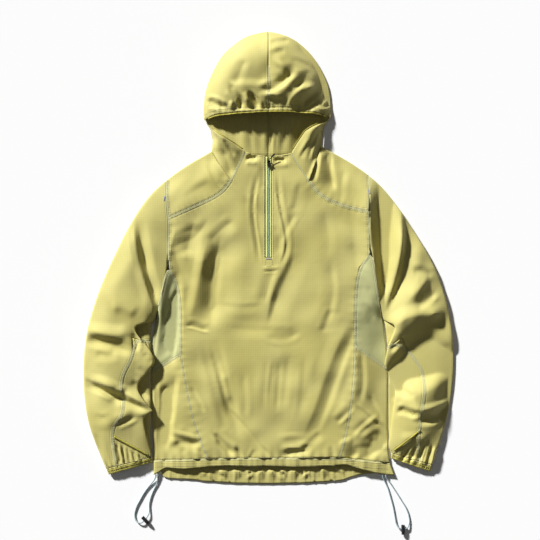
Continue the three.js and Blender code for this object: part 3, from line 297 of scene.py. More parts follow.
    def cloth(self, finish: ClothFinish) -> bpy.types.Material:
        """Material of a cloth.

        Args:
            finish: The cloth.

        Returns:
            The material, built the first time and kept.
        """
        if finish.name in self.made:
            return self.made[finish.name]
        tree = self.started(finish.name)
        place = tree.nodes.new("ShaderNodeTexCoord")
        weave = tree.nodes.new("ShaderNodeGroup")
        weave.node_tree = self.weave()
        self.wire(tree, weave, {"Pitch": finish.pitch, "Weave": finish.weave, "Crinkle": finish.crinkle,
                                "Vector": place.outputs["Object"]})
        attribute = tree.nodes.new("ShaderNodeAttribute")
        attribute.attribute_name = "seam_gap"
        sewn = tree.nodes.new("ShaderNodeGroup")
        sewn.node_tree = self.stitches()
        self.wire(tree, sewn, {"Gap": attribute.outputs["Fac"]})
        spread = self.maths(tree, "MULTIPLY_ADD", weave.outputs["Tone"], self.TONE_GAIN, self.TONE_SHIFT)
        grid = self.maths(tree, "MULTIPLY_ADD", weave.outputs["Check"], self.CHECK_TONE, spread)
        share = self.maths(tree, "MINIMUM", self.maths(tree, "MAXIMUM", grid, 0.0), 1.0)
        tone = self.mix(tree, {"A": (*finish.deep, 1), "B": (*finish.light, 1), "Factor": share})
        pressed = self.maths(tree, "MULTIPLY", sewn.outputs["Band"], self.BAND_TONE)
        colour = self.mix(tree, {"A": tone, "B": (*finish.thread, 1), "Factor": pressed})
        height = self.maths(tree, "MULTIPLY_ADD", sewn.outputs["Dip"], self.NEEDLE_DIP, weave.outputs["Height"])
        self.shaded(tree, {"Roughness": finish.roughness, "Sheen Weight": finish.sheen, "Sheen Roughness": 0.5,
                           "Specular IOR Level": 0.35, "Base Color": colour},
                    height, self.CLOTH_BUMP, self.CLOTH_RELIEF)
        return self.made[finish.name]

    def plastic(self, finish: PlasticFinish) -> bpy.types.Material:
        """Material of a moulded plastic.

        Args:
            finish: The plastic.

        Returns:
            The material, built the first time and kept.
        """
        if finish.name in self.made:
            return self.made[finish.name]
        tree = self.started(finish.name)
        place = tree.nodes.new("ShaderNodeTexCoord")
        noise = self.wire(tree, tree.nodes.new("ShaderNodeTexNoise"), {
            "Scale": self.GRAIN_SCALE, "Vector": place.outputs["Object"]}).outputs["Fac"]
        paler = [min(1.0, part * self.PALER + self.PALER_SHIFT) for part in finish.colour]
        colour = self.mix(tree, {"A": (*finish.colour, 1), "B": (*paler, 1), "Factor": noise})
        rough = self.maths(tree, "MULTIPLY_ADD", noise, self.ROUGH_RANGE, finish.roughness - self.ROUGH_SHIFT)
        self.shaded(tree, {"Base Color": colour, "Roughness": rough}, noise, finish.grain, self.GRAIN_RELIEF)
        return self.made[finish.name]


# Seams and creases


def smooth_path(path: Path, rounds: int = 2) -> np.ndarray:
    """Polyline rounded as a cubic B-spline.

    Args:
        path: The corners.
        rounds: Number of times that each stretch is halved.

    Returns:
        The points, two columns.
    """
    points = np.array(path, dtype=float)
    for _ in range(rounds):
        middles = (points[:-1] + points[1:]) / 2
        corners = points.copy()
        corners[1:-1] = (points[:-2] + 6 * points[1:-1] + points[2:]) / 8
        points = np.empty((len(corners) + len(middles), points.shape[1]))
        points[0::2] = corners
        points[1::2] = middles
    return points


def nearest(path: np.ndarray, places: np.ndarray) -> tuple[np.ndarray, np.ndarray, np.ndarray]:
    """Distance from places to a polyline.

    Args:
        path: The polyline's points.
        places: The places, two columns.

    Returns:
        For each place: its signed distance (positive to the left of the path), its share of the
        path's length, and its absolute distance.
    """
    starts, runs = path[:-1], np.diff(path, axis=0)
    lengths = np.hypot(runs[:, 0], runs[:, 1])
    before = np.concatenate([[0.0], np.cumsum(lengths)])
    gap = np.full(len(places), np.inf)
    side = np.zeros(len(places))
    share = np.zeros(len(places))
    for start, run, length, done in zip(starts, runs, lengths, before):
        offset = places - start
        t = np.clip((offset @ run) / (length * length), 0, 1)
        away = offset - t[:, None] * run
        distance = np.hypot(away[:, 0], away[:, 1])
        closer = distance < gap
        gap[closer] = distance[closer]
        side[closer] = np.sign(run[0] * away[closer, 1] - run[1] * away[closer, 0])
        share[closer] = (done + t[closer] * length) / before[-1]
    return gap * side, share, gap


def ease(value: np.ndarray | float) -> np.ndarray:
    """Smooth step from 0 to 1."""
    t = np.clip(value, 0, 1)
    return t * t * (3 - 2 * t)


class Mark(ABC):
    """Something that adds height to the cloth near its own paths."""

    @abstractmethod
    def lines(self) -> list[np.ndarray]:
        """The rounded paths that it follows."""

    @abstractmethod
    def span(self) -> float:
        """How far from its paths it reaches, in mm."""

    @abstractmethod
    def raised(self, places: np.ndarray) -> np.ndarray:
        """The height that it adds at places near its paths."""

    def height(self, places: np.ndarray) -> np.ndarray:
        """The height that it adds.

        Args:
            places: Places seen from above, two columns.

        Returns:
            A height for each place.
        """
        points, span = np.vstack(self.lines()), self.span()
        near = np.all((places > points.min(axis=0) - span) & (places < points.max(axis=0) + span), axis=1)
        added = np.zeros(len(places))
        if near.any():
            added[near] = self.raised(places[near])
        return added


@dataclass(frozen=True)
class Crease(Mark):
    """A soft trough along a path, or a ridge where its depth is negative.

    Attributes are the depth and half width in mm, how much steeper the left side is (-0.8 to
    0.8), the height of the swells beside it as a share of the depth, and the path.
    """

    depth: float
    width: float
    skew: float
    swell: float
    path: Path

    FADE = 0.22            # share of its length over which each end fades
    FAINT = 0.12           # share of its depth that is left at the ends
    UNEVEN, SWAYS = 0.22, 9
    BEYOND = 0.4           # share of its depth past its ends
    ROUNDNESS = 1.6        # power of the trough's profile
    SWELL_AT, SWELL_WIDTH = 1.9, 0.9

    def lines(self) -> list[np.ndarray]:
        """The rounded path."""
        return [smooth_path(self.path)]

    def span(self) -> float:
        """Four half widths."""
        return 4 * self.width

    def raised(self, places: np.ndarray) -> np.ndarray:
        """The height that it adds at places near its path.

        Args:
            places: Places seen from above, two columns.

        Returns:
            A height for each place.
        """
        side, share, gap = nearest(self.lines()[0], places)
        wide = self.width * np.where(side > 0, 1 - self.skew, 1 + self.skew)
        taper = ease(share / self.FADE) * ease((1 - share) / self.FADE)
        uneven = 1 + self.UNEVEN * np.sin(self.SWAYS * share + self.path[0][0])
        reach = gap / wide
        beyond = np.where((share <= 0) | (share >= 1), self.BEYOND, 1.0)
        trough = np.exp(-reach ** self.ROUNDNESS)
        shoulder = self.swell * np.exp(-((reach - self.SWELL_AT) / self.SWELL_WIDTH) ** 2)
        deep = self.depth * (self.FAINT + (1 - self.FAINT) * taper)
        return deep * uneven * beyond * (shoulder - trough)


@dataclass(frozen=True)
class Puckers(Mark):
    """Small waves that a seam's thread draws into the cloth beside it.

    Attributes are their pitch, depth and reach in mm, and the seam.
    """

    pitch: float
    depth: float
    reach: float
    path: Path

    SWAY, SWAY_PITCH = 1.7, 2.3   # how far, and over how many waves, their pitch wanders
    SETTLE = 0.4                  # share of the depth by which they lie lower than the cloth

    def lines(self) -> list[np.ndarray]:
        """The rounded seam."""
        return [smooth_path(self.path)]

    def span(self) -> float:
        """Four times the reach."""
        return 4 * self.reach

    def raised(self, places: np.ndarray) -> np.ndarray:
        """The height that they add at places near the seam.

        Args:
            places: Places seen from above, two columns.

        Returns:
            A height for each place.
        """
        line = self.lines()[0]
        _, share, gap = nearest(line, places)
        run = share * float(np.hypot(*np.diff(line, axis=0).T).sum())
        sway = self.SWAY * np.sin(run / (self.SWAY_PITCH * self.pitch))
        wave = np.sin(2 * math.pi * run / self.pitch + sway)
        return self.depth * (wave - self.SETTLE) * np.exp(-gap / self.reach)


@dataclass(frozen=True)
class Slope(Mark):
    """Plane of cloth that falls from a crest to a foot on the crest's right.

    Attributes, in mm: the crest's height over the cloth, the foot's depth under it, the reach of the
    climb to the crest and of the way back up from the foot, the width from which the slope has its
    full height, and the two paths.
    """

    rise: float
    drop: float
    climb: float
    recover: float
    full: float
    crest: Path
    foot: Path

    FADE = 0.27       # share of its length over which each end fades
    STRAIGHT = 0.7    # share of the fall that is straight, the rest is eased

    def lines(self) -> list[np.ndarray]:
        """The rounded crest and foot."""
        return [smooth_path(self.crest), smooth_path(self.foot)]

    def span(self) -> float:
        """The longer of the climb and the way back up."""
        return max(self.climb, self.recover)

    def raised(self, places: np.ndarray) -> np.ndarray:
        """The height that it adds at places near its paths.

        Args:
            places: Places seen from above, two columns.

        Returns:
            A height for each place.
        """
        crest, foot = self.lines()
        side, share, above = nearest(crest, places)
        other, along, below = nearest(foot, places)
        inside = (side <= 0) & (other >= 0)
        wide = np.where(inside, above + below, np.abs(below - above))
        down = above / np.maximum(above + below, 1e-6)
        share = np.where(inside, share + (along - share) * down, np.where(side > 0, share, along))
        taper = ease(share / self.FADE) * ease((1 - share) / self.FADE) * ease(wide / self.full)
        way = self.STRAIGHT * down + (1 - self.STRAIGHT) * ease(down)
        fall = self.rise - (self.rise + self.drop) * way
        uphill = self.rise * (1 - ease(above / self.climb))
        downhill = -self.drop * (1 - ease(below / self.recover))
        return taper * np.where(inside, fall, np.where(side > 0, uphill, downhill))


@dataclass
class Relief:
    """The creases, slopes, puckers and slow unevenness of one part of the garment.

    Strength multiplies the creases and pitch the slopes. The unevenness is a sum of long waves
    drawn from the seed, in mm.
    """

    creases: Sequence[Crease] = ()
    puckers: Sequence[Puckers] = ()
    unevenness: float = 0.5
    seed: int = 1
    strength: float = 1.0
    slopes: Sequence[Slope] = ()
    pitch: float = 1.0

    WAVES, WAVE_SHARE = 14, 0.35
    SHORTEST, LONGEST = 60, 170      # length of a wave, mm
    PHASES = 6.3
    BEND, BEND_LENGTH = 1.3, 61      # how far, and over how many mm, a wave wanders

    def height(self, places: np.ndarray) -> np.ndarray:
        """Height added over the cloth.

        Args:
            places: Places seen from above, two columns.

        Returns:
            A height for each place.
        """
        total = np.zeros(len(places))
        for share, marks in ((self.strength, self.creases), (self.pitch, self.slopes), (1, self.puckers)):
            for mark in marks:
                total += share * mark.height(places)
        waves = np.random.default_rng(self.seed)
        for _ in range(self.WAVES):
            angle, length, phase = (waves.uniform(0, math.pi), waves.uniform(self.SHORTEST, self.LONGEST),
                                    waves.uniform(0, self.PHASES))
            along = places[:, 0] * math.cos(angle) + places[:, 1] * math.sin(angle)
            wander = self.BEND * np.sin(along / self.BEND_LENGTH + phase)
            total += self.unevenness * self.WAVE_SHARE * np.sin(2 * math.pi * along / length + phase + wander)
        return total


SEAM_HALF = 0.17      # half of the gap between two solids at a seam, mm
SEAM_REACH = 2.5      # a cut edge this near a seam is sewn to it, mm
UNSEWN = 40.0         # distance from a seam that stands for none, mm
UPPER = 2.2           # cloth higher than this is on the upper side, mm

# Seams, [x, y] rows. Left is the viewer's left.
SEAM = {
    "left": ((-133, -440), (-144, -412), (-156, -381), (-167, -346), (-176, -304), (-185, -256),
             (-192, -211), (-192, -177), (-192, -139), (-193, -100), (-197, -71), (-203, -49),
             (-216, -27), (-219, 4), (-218.5, 43), (-218, 87)),
    "right": ((155, -438), (164, -408), (172, -375), (178, -339), (184, -298), (188, -247),
              (190, -194), (189, -163), (189, -128), (190, -91), (192, -56), (200, -20),
              (222, 6), (220, 30), (219.6, 61), (219, 101)),
}
EDGE = {
    "left": ((-256, -251), (-256, -207), (-254, -170), (-248, -135), (-240.7, -104), (-232, -67),
             (-223, -29), (-216, -27)),
    "right": ((261, -245), (259, -207), (255, -170), (250, -133), (243, -93), (236, -53),
              (229, -1), (222, 6)),
}
GUSSET_FOOT = {"left": ((-192, -211), (-256, -251)), "right": ((190, -194), (261, -245))}
YOKE = {
    "left": ((-218, 87), (-195, 97), (-173, 107), (-151, 117), (-129, 127), (-111, 137),
             (-96, 149), (-82, 170)),
    "right": ((219, 101), (197, 105), (175, 111), (153, 118), (133, 126), (115, 137),
              (101, 151), (89, 167)),
}
ARMHOLE = {
    "left": ((-223, 171), (-224, 129), (-218, 87), (-218.5, 43), (-219, 4), (-216, -27)),
    "right": ((220, 181), (221, 140), (219, 101), (219.6, 61), (220, 30), (222, 6)),
}
NECK = {
    "left": ((-82, 170), (-71, 191), (-60, 213), (-52, 233)),
    "right": ((89, 167), (75, 188), (62, 208), (50, 229)),
}
NECKLINE = ((-52, 233), (-34, 226), (-19, 224), (-8, 223), (9, 223), (19, 224), (34, 226), (50, 229))
FACE_EDGE = ((-141, 301), (-129, 309), (-111, 313), (-94, 314), (-74, 316), (-56, 317), (-36, 318),
             (-19, 319), (0, 320), (19, 320), (36, 320), (54, 320), (72, 319), (89, 318), (107, 316),
             (124, 313), (138, 305))
CROWN_SEAM = ((0, 318), (0, 414))
NAPE_SEAM = ((0, 200), (0, 330))
FOREARM = {
    "left": ((-259, -184), (-277, -182), (-286, -179), (-294, -197), (-300, -225), (-316, -250),
             (-322, -275), (-320, -298), (-315, -323), (-321, -349), (-340, -369), (-342, -392),
             (-339, -416), (-336, -439), (-332, -456)),
    "right": ((261, -197), (275, -186), (303, -201), (322, -223), (338, -248), (341, -276),
              (339, -305), (334, -334), (331, -362), (327, -385), (327, -403), (329, -420),
              (331, -436), (331, -446)),
}
CUFF_SEAM = {"left": ((-357, -463), (-255, -437)), "right": ((360, -455), (269, -428))}
CUFF_EDGE = {"left": ((-351, -476), (-254, -449)), "right": ((356, -470), (270, -441))}
BACK_LINE = ((-221, -478), (-74, -489), (88, -488), (241, -467))
HEM_LINE = ((-252, -445), (-133, -440), (155, -438), (266, -450))
BINDING_LINE = {"left": ((-341, -389), (-256, -436)), "right": ((333, -374), (270, -426))}
TACKS = ((-228, 129, 80, 9), (219, 144.5, 95, 9), (0.5, -2.5, 0, 12))


# Pieces


def shown(piece: bpy.types.Object, body: str, slot: Slot, *nodes: str) -> bpy.types.Object:
    """Registers a finished piece with the frame.

    Args:
        piece: The object.
        body: The body that it rides on.
        slot: Not used.
        nodes: The CAD nodes that it stands for.

    Returns:
        The same object.
    """
    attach(piece, body)
    if nodes:
        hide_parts(*nodes)
    LOG.info("%s: %d faces", piece.name, len(piece.data.polygons) if piece.type == "MESH" else 0)
    return piece


def as_object(name: str, bm: bmesh.types.BMesh, material: bpy.types.Material) -> bpy.types.Object:
    """An object with smooth faces from a bmesh, which is freed.

    Args:
        name: Name of the object and its mesh.
        bm: The shape, in metres.
        material: Its material.

    Returns:
        The object, linked into the scene.
    """
    mesh = bpy.data.meshes.new(name)
    bm.to_mesh(mesh)
    bm.free()
    mesh.materials.append(material)
    mesh.shade_smooth()
    piece = bpy.data.objects.new(name, mesh)
    bpy.context.scene.collection.objects.link(piece)
    return piece


@dataclass
class Panel:
    """A cut piece of cloth: a refined copy of its solid with the creases laid into it.

    Attributes: the node, its finish, how it is held and its cut (width, length, area in metres),
    which are not used, the relief laid into its upper layer, rounds of smoothing, the longest cell
    in mm, the seams that it is drawn up to, the sharpest corner that is rounded, where the upper
    layer starts and over how much height, and the relief of the layer on the floor where that shows.
    """

    node: str
    finish: ClothFinish
    hold: Hold
    cut: tuple[float, float, float]
    relief: Relief
    rounds: int = 2
    cell: float = 4.2
    seams: Sequence[Path] = ()
    corner: float = 66.0
    base: float = 1.7
    rise: float = 4.5
    floor: Relief | None = None

    WELD = 2e-5                       # corners nearer than this become one, in metres
    JOIN = math.radians(80)           # triangles that meet flatter than this are joined
    UPRIGHT, UPRIGHT_SHARE = 0.8, 2.4  # an upright edge stays sharp from a smaller angle
    FACES_UP = 0.15
    CUTS = 3                          # times that long edges are halved
    CUT_FACE = 0.4                    # a cut face looks up or down less than this
    SINK, WALLS = 0.72, 3.0           # share of the height over the two walls that a hollow may take

    def refined(self) -> bmesh.types.BMesh:
        """Copy of the solid with smooth faces, cut into small cells on its upper side.

        Returns:
            The shape, in metres.
        """
        bm = bmesh.new()
        bm.from_mesh(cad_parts[self.node].data)
        bmesh.ops.remove_doubles(bm, verts=bm.verts, dist=self.WELD)
        bmesh.ops.join_triangles(bm, faces=bm.faces, angle_face_threshold=self.JOIN,
                                 angle_shape_threshold=self.JOIN)
        crease = bm.edges.layers.float.get("crease_edge") or bm.edges.layers.float.new("crease_edge")
        for edge in bm.edges:
            if len(edge.link_faces) != 2:
                continue
            way = (edge.verts[0].co - edge.verts[1].co).normalized()
            sharpest = self.corner if abs(way.z) < self.UPRIGHT else self.corner / self.UPRIGHT_SHARE
            if edge.calc_face_angle() > math.radians(sharpest):
                edge[crease] = 1.0
        rough = bpy.data.meshes.new(f"{self.node}_rough")
        bm.to_mesh(rough)
        bm.free()
        helper = bpy.data.objects.new(f"{self.node}_rough", rough)
        bpy.context.scene.collection.objects.link(helper)
        modifier = helper.modifiers.new("smooth", "SUBSURF")
        modifier.levels = modifier.render_levels = self.rounds
        fine = helper.evaluated_get(bpy.context.evaluated_depsgraph_get()).to_mesh()
        bm = bmesh.new()
        bm.from_mesh(fine)
        bpy.data.objects.remove(helper)
        bpy.data.meshes.remove(rough)
        for _ in range(self.CUTS):
            long = [edge for edge in bm.edges if edge.calc_length() > self.cell * MM
                    and any(face.normal.z > self.FACES_UP for face in edge.link_faces)
                    and max(vert.co.z for vert in edge.verts) > UPPER * MM]
            if not long:
                break
            bmesh.ops.subdivide_edges(bm, edges=long, cuts=1, use_grid_fill=True)
        return bm

    def draw_up(self, bm: bmesh.types.BMesh, gap: np.ndarray) -> None:
        """Moves the cut edges beside the seams out, so that two sewn pieces meet.

        Args:
            bm: The shape.
            gap: Each corner's distance from the nearest seam, in mm.
        """
        bm.verts.index_update()
        ways: dict[int, Vector] = {}
        for face in bm.faces:
            if abs(face.normal.z) > self.CUT_FACE:
                continue
            for vert in face.verts:
                if gap[vert.index] < SEAM_REACH:
                    flat = Vector((face.normal.x, face.normal.y, 0.0))
                    ways[vert.index] = ways.get(vert.index, Vector()) + flat
        bm.verts.ensure_lookup_table()
        for index, way in ways.items():
            if way.length > 1e-6:
                bm.verts[index].co += way.normalized() * SEAM_HALF * MM

    def build(self, materials: Materials) -> bpy.types.Object:
        """Makes, dresses and registers the piece.

        Args:
            materials: The finishes.

        Returns:
            The piece.
        """
        bm = self.refined()
        places = np.array([vert.co[:] for vert in bm.verts]) / MM
        upper = ease((places[:, 2] - self.base) / self.rise)
        added = self.relief.height(places[:, :2]) * upper
        if self.floor:
            added += np.maximum(0, self.floor.height(places[:, :2])) * (1 - upper)
        heights = places[:, 2] + np.maximum(added, -self.SINK * np.maximum(0.0, places[:, 2] - self.WALLS))
        gap = np.full(len(places), UNSEWN)
        for seam in self.seams:
            gap = np.minimum(gap, nearest(smooth_path(seam), places[:, :2])[2])
        self.draw_up(bm, gap)
        for vert, height in zip(bm.verts, heights):
            vert.co.z = height * MM
        piece = as_object(self.node + "_cloth", bm, materials.cloth(self.finish))
        gap = np.where(places[:, 2] > UPPER, gap, UNSEWN)
        layer = piece.data.attributes.new("seam_gap", "FLOAT", "POINT")
        layer.data.foreach_set("value", gap.astype(np.float32))
        return shown(piece, "garment", self.finish.slot, self.node)


class Surface:
    """Height of the dressed cloth, looked up from above."""

    ABOVE = 0.2    # height that it is looked at from, in metres

    def __init__(self, pieces: Sequence[bpy.types.Object]) -> None:
        """Joins the pieces' faces in one search tree.

        Args:
            pieces: The cloth pieces.
        """
        whole = bmesh.new()
        for piece in pieces:
            whole.from_mesh(piece.data)
        self.tree = BVHTree.FromBMesh(whole)
        whole.free()

    def height(self, x: float, y: float) -> float:
        """Highest cloth at a place.

        Args:
            x: Place in mm.
            y: Place in mm.

        Returns:
            The height in mm, 0 over bare floor.
        """
        hit = self.tree.ray_cast(Vector((x * MM, y * MM, self.ABOVE)), Vector((0, 0, -1)))[0]
        return hit.z / MM if hit else 0.0


class Track:
    """A rounded path that is walked by its length, in mm."""

    def __init__(self, path: Path) -> None:
        """Rounds the path and measures its stretches."""
        self.line = smooth_path(path)
        self.runs = np.diff(self.line, axis=0)
        self.lengths = np.hypot(self.runs[:, 0], self.runs[:, 1])
        self.before = np.concatenate([[0.0], np.cumsum(self.lengths)])
        self.long = self.before[-1]

    def at(self, done: float) -> tuple[np.ndarray, np.ndarray, np.ndarray]:
        """Where the path is after a length.

        Args:
            done: The length walked.

        Returns:
            The place, the direction, and the direction to the left.
        """
        k = min(max(int(np.searchsorted(self.before, done)) - 1, 0), len(self.runs) - 1)
        run = self.runs[k] / self.lengths[k]
        return self.line[k] + run * (done - self.before[k]), run, np.array([-run[1], run[0]])


@dataclass
class StitchRow:
    """A row of stitches beside a seam, offset to the left of its path, all in mm."""

    path: Path
    offset: float
    pitch: float = 3.6
    size: tuple[float, float, float] = (2.5, 0.75, 0.5)


@dataclass
class SeamBand:
    """Flat seam's band of thread, laid over the join of two pieces, in mm."""

    path: Path
    wide: float
    offset: float = 0.0
    step: float = 2.4

    FEWEST = 3                  # stretches of the shortest band
    BESIDE = (-0.9, 0.0, 0.9)   # where the cloth's height is looked up, across the band
    CROWN, EDGE = 0.45, 0.12    # height over the cloth in the middle and at the edges

    def build(self, bm: bmesh.types.BMesh, surface: Surface) -> None:
        """Lays the band on the cloth.

        Args:
            bm: The shape that it joins.
            surface: The cloth.
        """
        track = Track(self.path)
        count = max(self.FEWEST, int(track.long / self.step))
        for vert in bmesh.ops.create_grid(bm, x_segments=count, y_segments=2, size=1.0)["verts"]:
            at, _, left = track.at((vert.co.x + 1) / 2 * track.long)
            across = vert.co.y * self.wide / 2 + self.offset
            beside = [surface.height(*(at + left * (across + d))) for d in self.BESIDE]
            place = at + left * across
            crown = self.CROWN if abs(vert.co.y) < 0.5 else self.EDGE
            vert.co = Vector((place[0], place[1], max(beside) + crown)) * MM


@dataclass
class Sewing:
    """All rows of stitches, bands, pipings and bar tacks.

    A tack is its middle in mm, its direction in degrees and its length in mm.
    """

    rows: Sequence[StitchRow]
    bands: Sequence[SeamBand]
    tacks: Sequence[tuple[float, float, float, float]]
    pipings: Sequence[SeamBand]

    STEEPEST = 2.5                    # rise over a stitch past which it is left out, mm
    FLOOR = 0.5                       # lower than this is no cloth, mm
    LIFT = 0.15                       # a stitch's middle over the cloth, mm
    TACK_STITCHES = 9
    TACK_SIZE = (2.6, 0.9, 0.7)

    def stitch(self, bm: bmesh.types.BMesh, surface: Surface, place: tuple[float, float], turn: float,
               size: tuple[float, float, float]) -> None:
        """One stitch laid on the cloth.

        Args:
            bm: The shape that it joins.
            surface: The cloth.
            place: Middle, in mm.
            turn: Direction in radians.
            size: Length, width and height in mm.
        """
        reach = size[0] / 2
        run = Vector((math.cos(turn), math.sin(turn)))
        ends = [surface.height(place[0] + s * run.x * reach, place[1] + s * run.y * reach) for s in (-1, 1)]
        middle = surface.height(*place)
        if max(ends) - min(ends) > self.STEEPEST or middle < self.FLOOR:
            return
        rise = math.atan2(ends[1] - ends[0], size[0])
        at = Matrix.Translation(Vector((place[0], place[1], middle + self.LIFT)) * MM)
        way = Matrix.Rotation(turn, 4, "Z") @ Matrix.Rotation(-rise, 4, "Y")
        shape = Matrix.Diagonal((size[0] * MM, size[1] * MM, size[2] * MM, 1))
        bmesh.ops.create_cube(bm, size=1.0, matrix=at @ way @ shape)

    def lay(self, name: str, bands: Sequence[SeamBand], material: bpy.types.Material, slot: Slot,
            surface: Surface) -> bpy.types.Object:
        """Lays bands on the cloth as one piece.

        Args:
            name: Its name.
            bands: The bands.
            material: Their material.
            slot: Their slot.
            surface: The cloth that they lie on.

        Returns:
            The piece.
        """
        bm = bmesh.new()
        for band in bands:
            band.build(bm, surface)
        bmesh.ops.recalc_face_normals(bm, faces=bm.faces)
        if sum(face.normal.z for face in bm.faces) < 0:
            bmesh.ops.reverse_faces(bm, faces=bm.faces)
        return shown(as_object(name, bm, material), "garment", slot)

    def build(self, materials: Materials, surface: Surface) -> list[bpy.types.Object]:
        """Lays the rows, the bands, the pipings and the tacks.

        Args:
            materials: The finishes.
            surface: The cloth that they lie on.

        Returns:
            The pieces.
        """
        bm = bmesh.new()
        for row in self.rows:
            track = Track(row.path)
            for done in np.arange(row.pitch, track.long - row.pitch / 2, row.pitch):
                at, run, left = track.at(done)
                self.stitch(bm, surface, tuple(at + row.offset * left), math.atan2(run[1], run[0]), row.size)
        thread = shown(as_object("seam_stitching", bm, materials.cloth(THREAD)), "garment", Slot.SHELL)
        bands = self.lay("flat_seam_bands", self.bands, materials.cloth(SEAM_THREAD), Slot.SHELL, surface)
        pipings = self.lay("cuff_pipings", self.pipings, materials.cloth(BINDING), Slot.BINDING, surface)
        bm = bmesh.new()
        for x, y, turn, long in self.tacks:
            run = math.radians(turn)
            for step in np.linspace(-0.5, 0.5, self.TACK_STITCHES) * long:
                at = (x + step * math.cos(run), y + step * math.sin(run))
                self.stitch(bm, surface, at, run + math.pi / 2, self.TACK_SIZE)
        tack = shown(as_object("bar_tacks", bm, materials.cloth(TACK)), "garment", Slot.SHELL)
        return [thread, bands, pipings, tack]


@dataclass
class Drawcord:
    """A drawcord loop with its toggle, out of the hem and back into it."""

    side: str
    route: Sequence[tuple[float, float, float]]
    diameter: float = 2.8

    def build(self, materials: Materials) -> bpy.types.Object:
        """Makes the cord as one smooth curve.

        Args:
            materials: The finishes.

        Returns:
            The curve.
        """
        data = bpy.data.curves.new(f"drawcord_{self.side}_braid", "CURVE")
        data.dimensions = "3D"
        data.bevel_depth = self.diameter / 2 * MM
        data.bevel_resolution = 3
        data.resolution_u = 8
        data.use_fill_caps = True
        spline = data.splines.new("BEZIER")
        spline.bezier_points.add(len(self.route) - 1)
        for point, place in zip(spline.bezier_points, self.route):
            point.co = Vector(place) * MM
            point.handle_left_type = point.handle_right_type = "AUTO"
        data.materials.append(materials.cloth(CORD))
        piece = bpy.data.objects.new(data.name, data)
        bpy.context.scene.collection.objects.link(piece)
        return shown(piece, "garment", Slot.CORD, f"drawcord_{self.side}")


CORD_ROUTES = {
    "left": ((-248, -476.1, 5), (-248, -479.6, 4.7), (-251, -488, 3.2), (-258, -497, 2),
             (-270, -512, 1.5), (-282, -532, 1.5), (-292, -553, 1.5), (-294, -569, 1.6),
             (-289, -580, 3.2), (-280, -582.5, 4.6), (-272, -575, 4.7), (-265, -567, 4.3),
             (-262, -557, 2.2), (-262, -545, 1.5), (-259, -528, 1.5), (-252, -510, 1.5),
             (-246, -498, 2), (-243.6, -486, 3.4), (-243, -477.3, 4.7), (-243, -473.8, 5)),
    "right": ((250.5, -476, 5.2), (250.5, -479.5, 4.8), (253.5, -487, 3.2), (257.5, -496, 2),
              (262, -506, 1.5), (268, -526, 1.5), (274, -549, 1.5), (278, -570, 1.5),
              (281, -585, 2.6), (287.5, -594, 4.4), (295.5, -594.5, 4.7), (303.5, -594.5, 4.4),
              (309, -585, 2.4), (309, -571, 1.5), (303, -552, 1.5), (290, -530, 1.5),
              (276, -508, 1.5), (266, -493, 2.2), (259, -484, 4), (258, -480.2, 4.9),
              (258, -476.7, 5.2)),
}


@dataclass
class Zip:
    """The half zip: two tapes, a closed coil, a slider and its pull tab."""

    x: float = 0.5
    low: float = 0.5
    high: float = 202.6
    pitch: float = 1.7
    tooth: tuple[float, float, float] = (1.5, 0.95, 1.0)

    BESIDE = 4        # where the tapes' height is looked up, mm from the middle
    OVER = 0.75       # a tooth's middle over the tapes, mm
    HALF_STEP = 0.5   # how far a tooth stands to its side and up, mm
    BEVEL = 0.22
    BLACK_NODES = ("zip_slider", "zip_pull_tab", "toggle_left", "toggle_right")

    def build(self, materials: Materials, surface: Surface) -> list[bpy.types.Object]:
        """Makes the coil and finishes the slider and the pull tab.

        Args:
            materials: The finishes.
            surface: The cloth and tapes, for the coil's height.

        Returns:
            The pieces made.
        """
        bm = bmesh.new()
        for k, y in enumerate(np.arange(self.low, self.high, self.pitch / 2)):
            side = 1 if k % 2 else -1
            tapes = [surface.height(self.x + way * self.BESIDE, y) for way in (-1, 1)]
            place = (self.x + side * self.HALF_STEP, y + self.HALF_STEP, sum(tapes) / 2 + self.OVER)
            at = Matrix.Translation(Vector(place) * MM)
            shape = Matrix.Diagonal((*[v * MM for v in self.tooth], 1))
            made = bmesh.ops.create_cube(bm, size=1.0, matrix=at @ shape)
            edges = {edge for vert in made["verts"] for edge in vert.link_edges}
            bmesh.ops.bevel(bm, geom=list(edges), offset=self.BEVEL * MM, segments=1, profile=0.5,
                            affect="EDGES", material=-1)
        coil = shown(as_object("zip_coil_teeth", bm, materials.plastic(COIL)), "garment", Slot.COIL,
                     "zip_chain")
        for node in self.BLACK_NODES:
            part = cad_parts[node]
            part.data.materials.clear()
            part.data.materials.append(materials.plastic(BLACK))
        return [coil]


# Creases of each part


def points(values: Sequence[float]) -> Path:
    """Path of a row that gives x and y by turns."""
    return tuple(zip(values[::2], values[1::2]))


def creases(rows: Sequence[Sequence[float]]) -> tuple[Crease, ...]:
    """Creases of a table.

    Args:
        rows: For each its depth, width, skew and swell, then its path's x and y by turns.

    Returns:
        The creases, in the same order.
    """
    return tuple(Crease(*row[:4], points(row[4:])) for row in rows)


def slopes(rows: Sequence[Sequence[float | Sequence[float]]]) -> tuple[Slope, ...]:
    """Slopes of a table.

    Args:
        rows: For each its rise, drop, climb, recover and full width, then the crest and the foot.

    Returns:
        The slopes, in the same order.
    """
    return tuple(Slope(*row[:5], points(row[5]), points(row[6])) for row in rows)


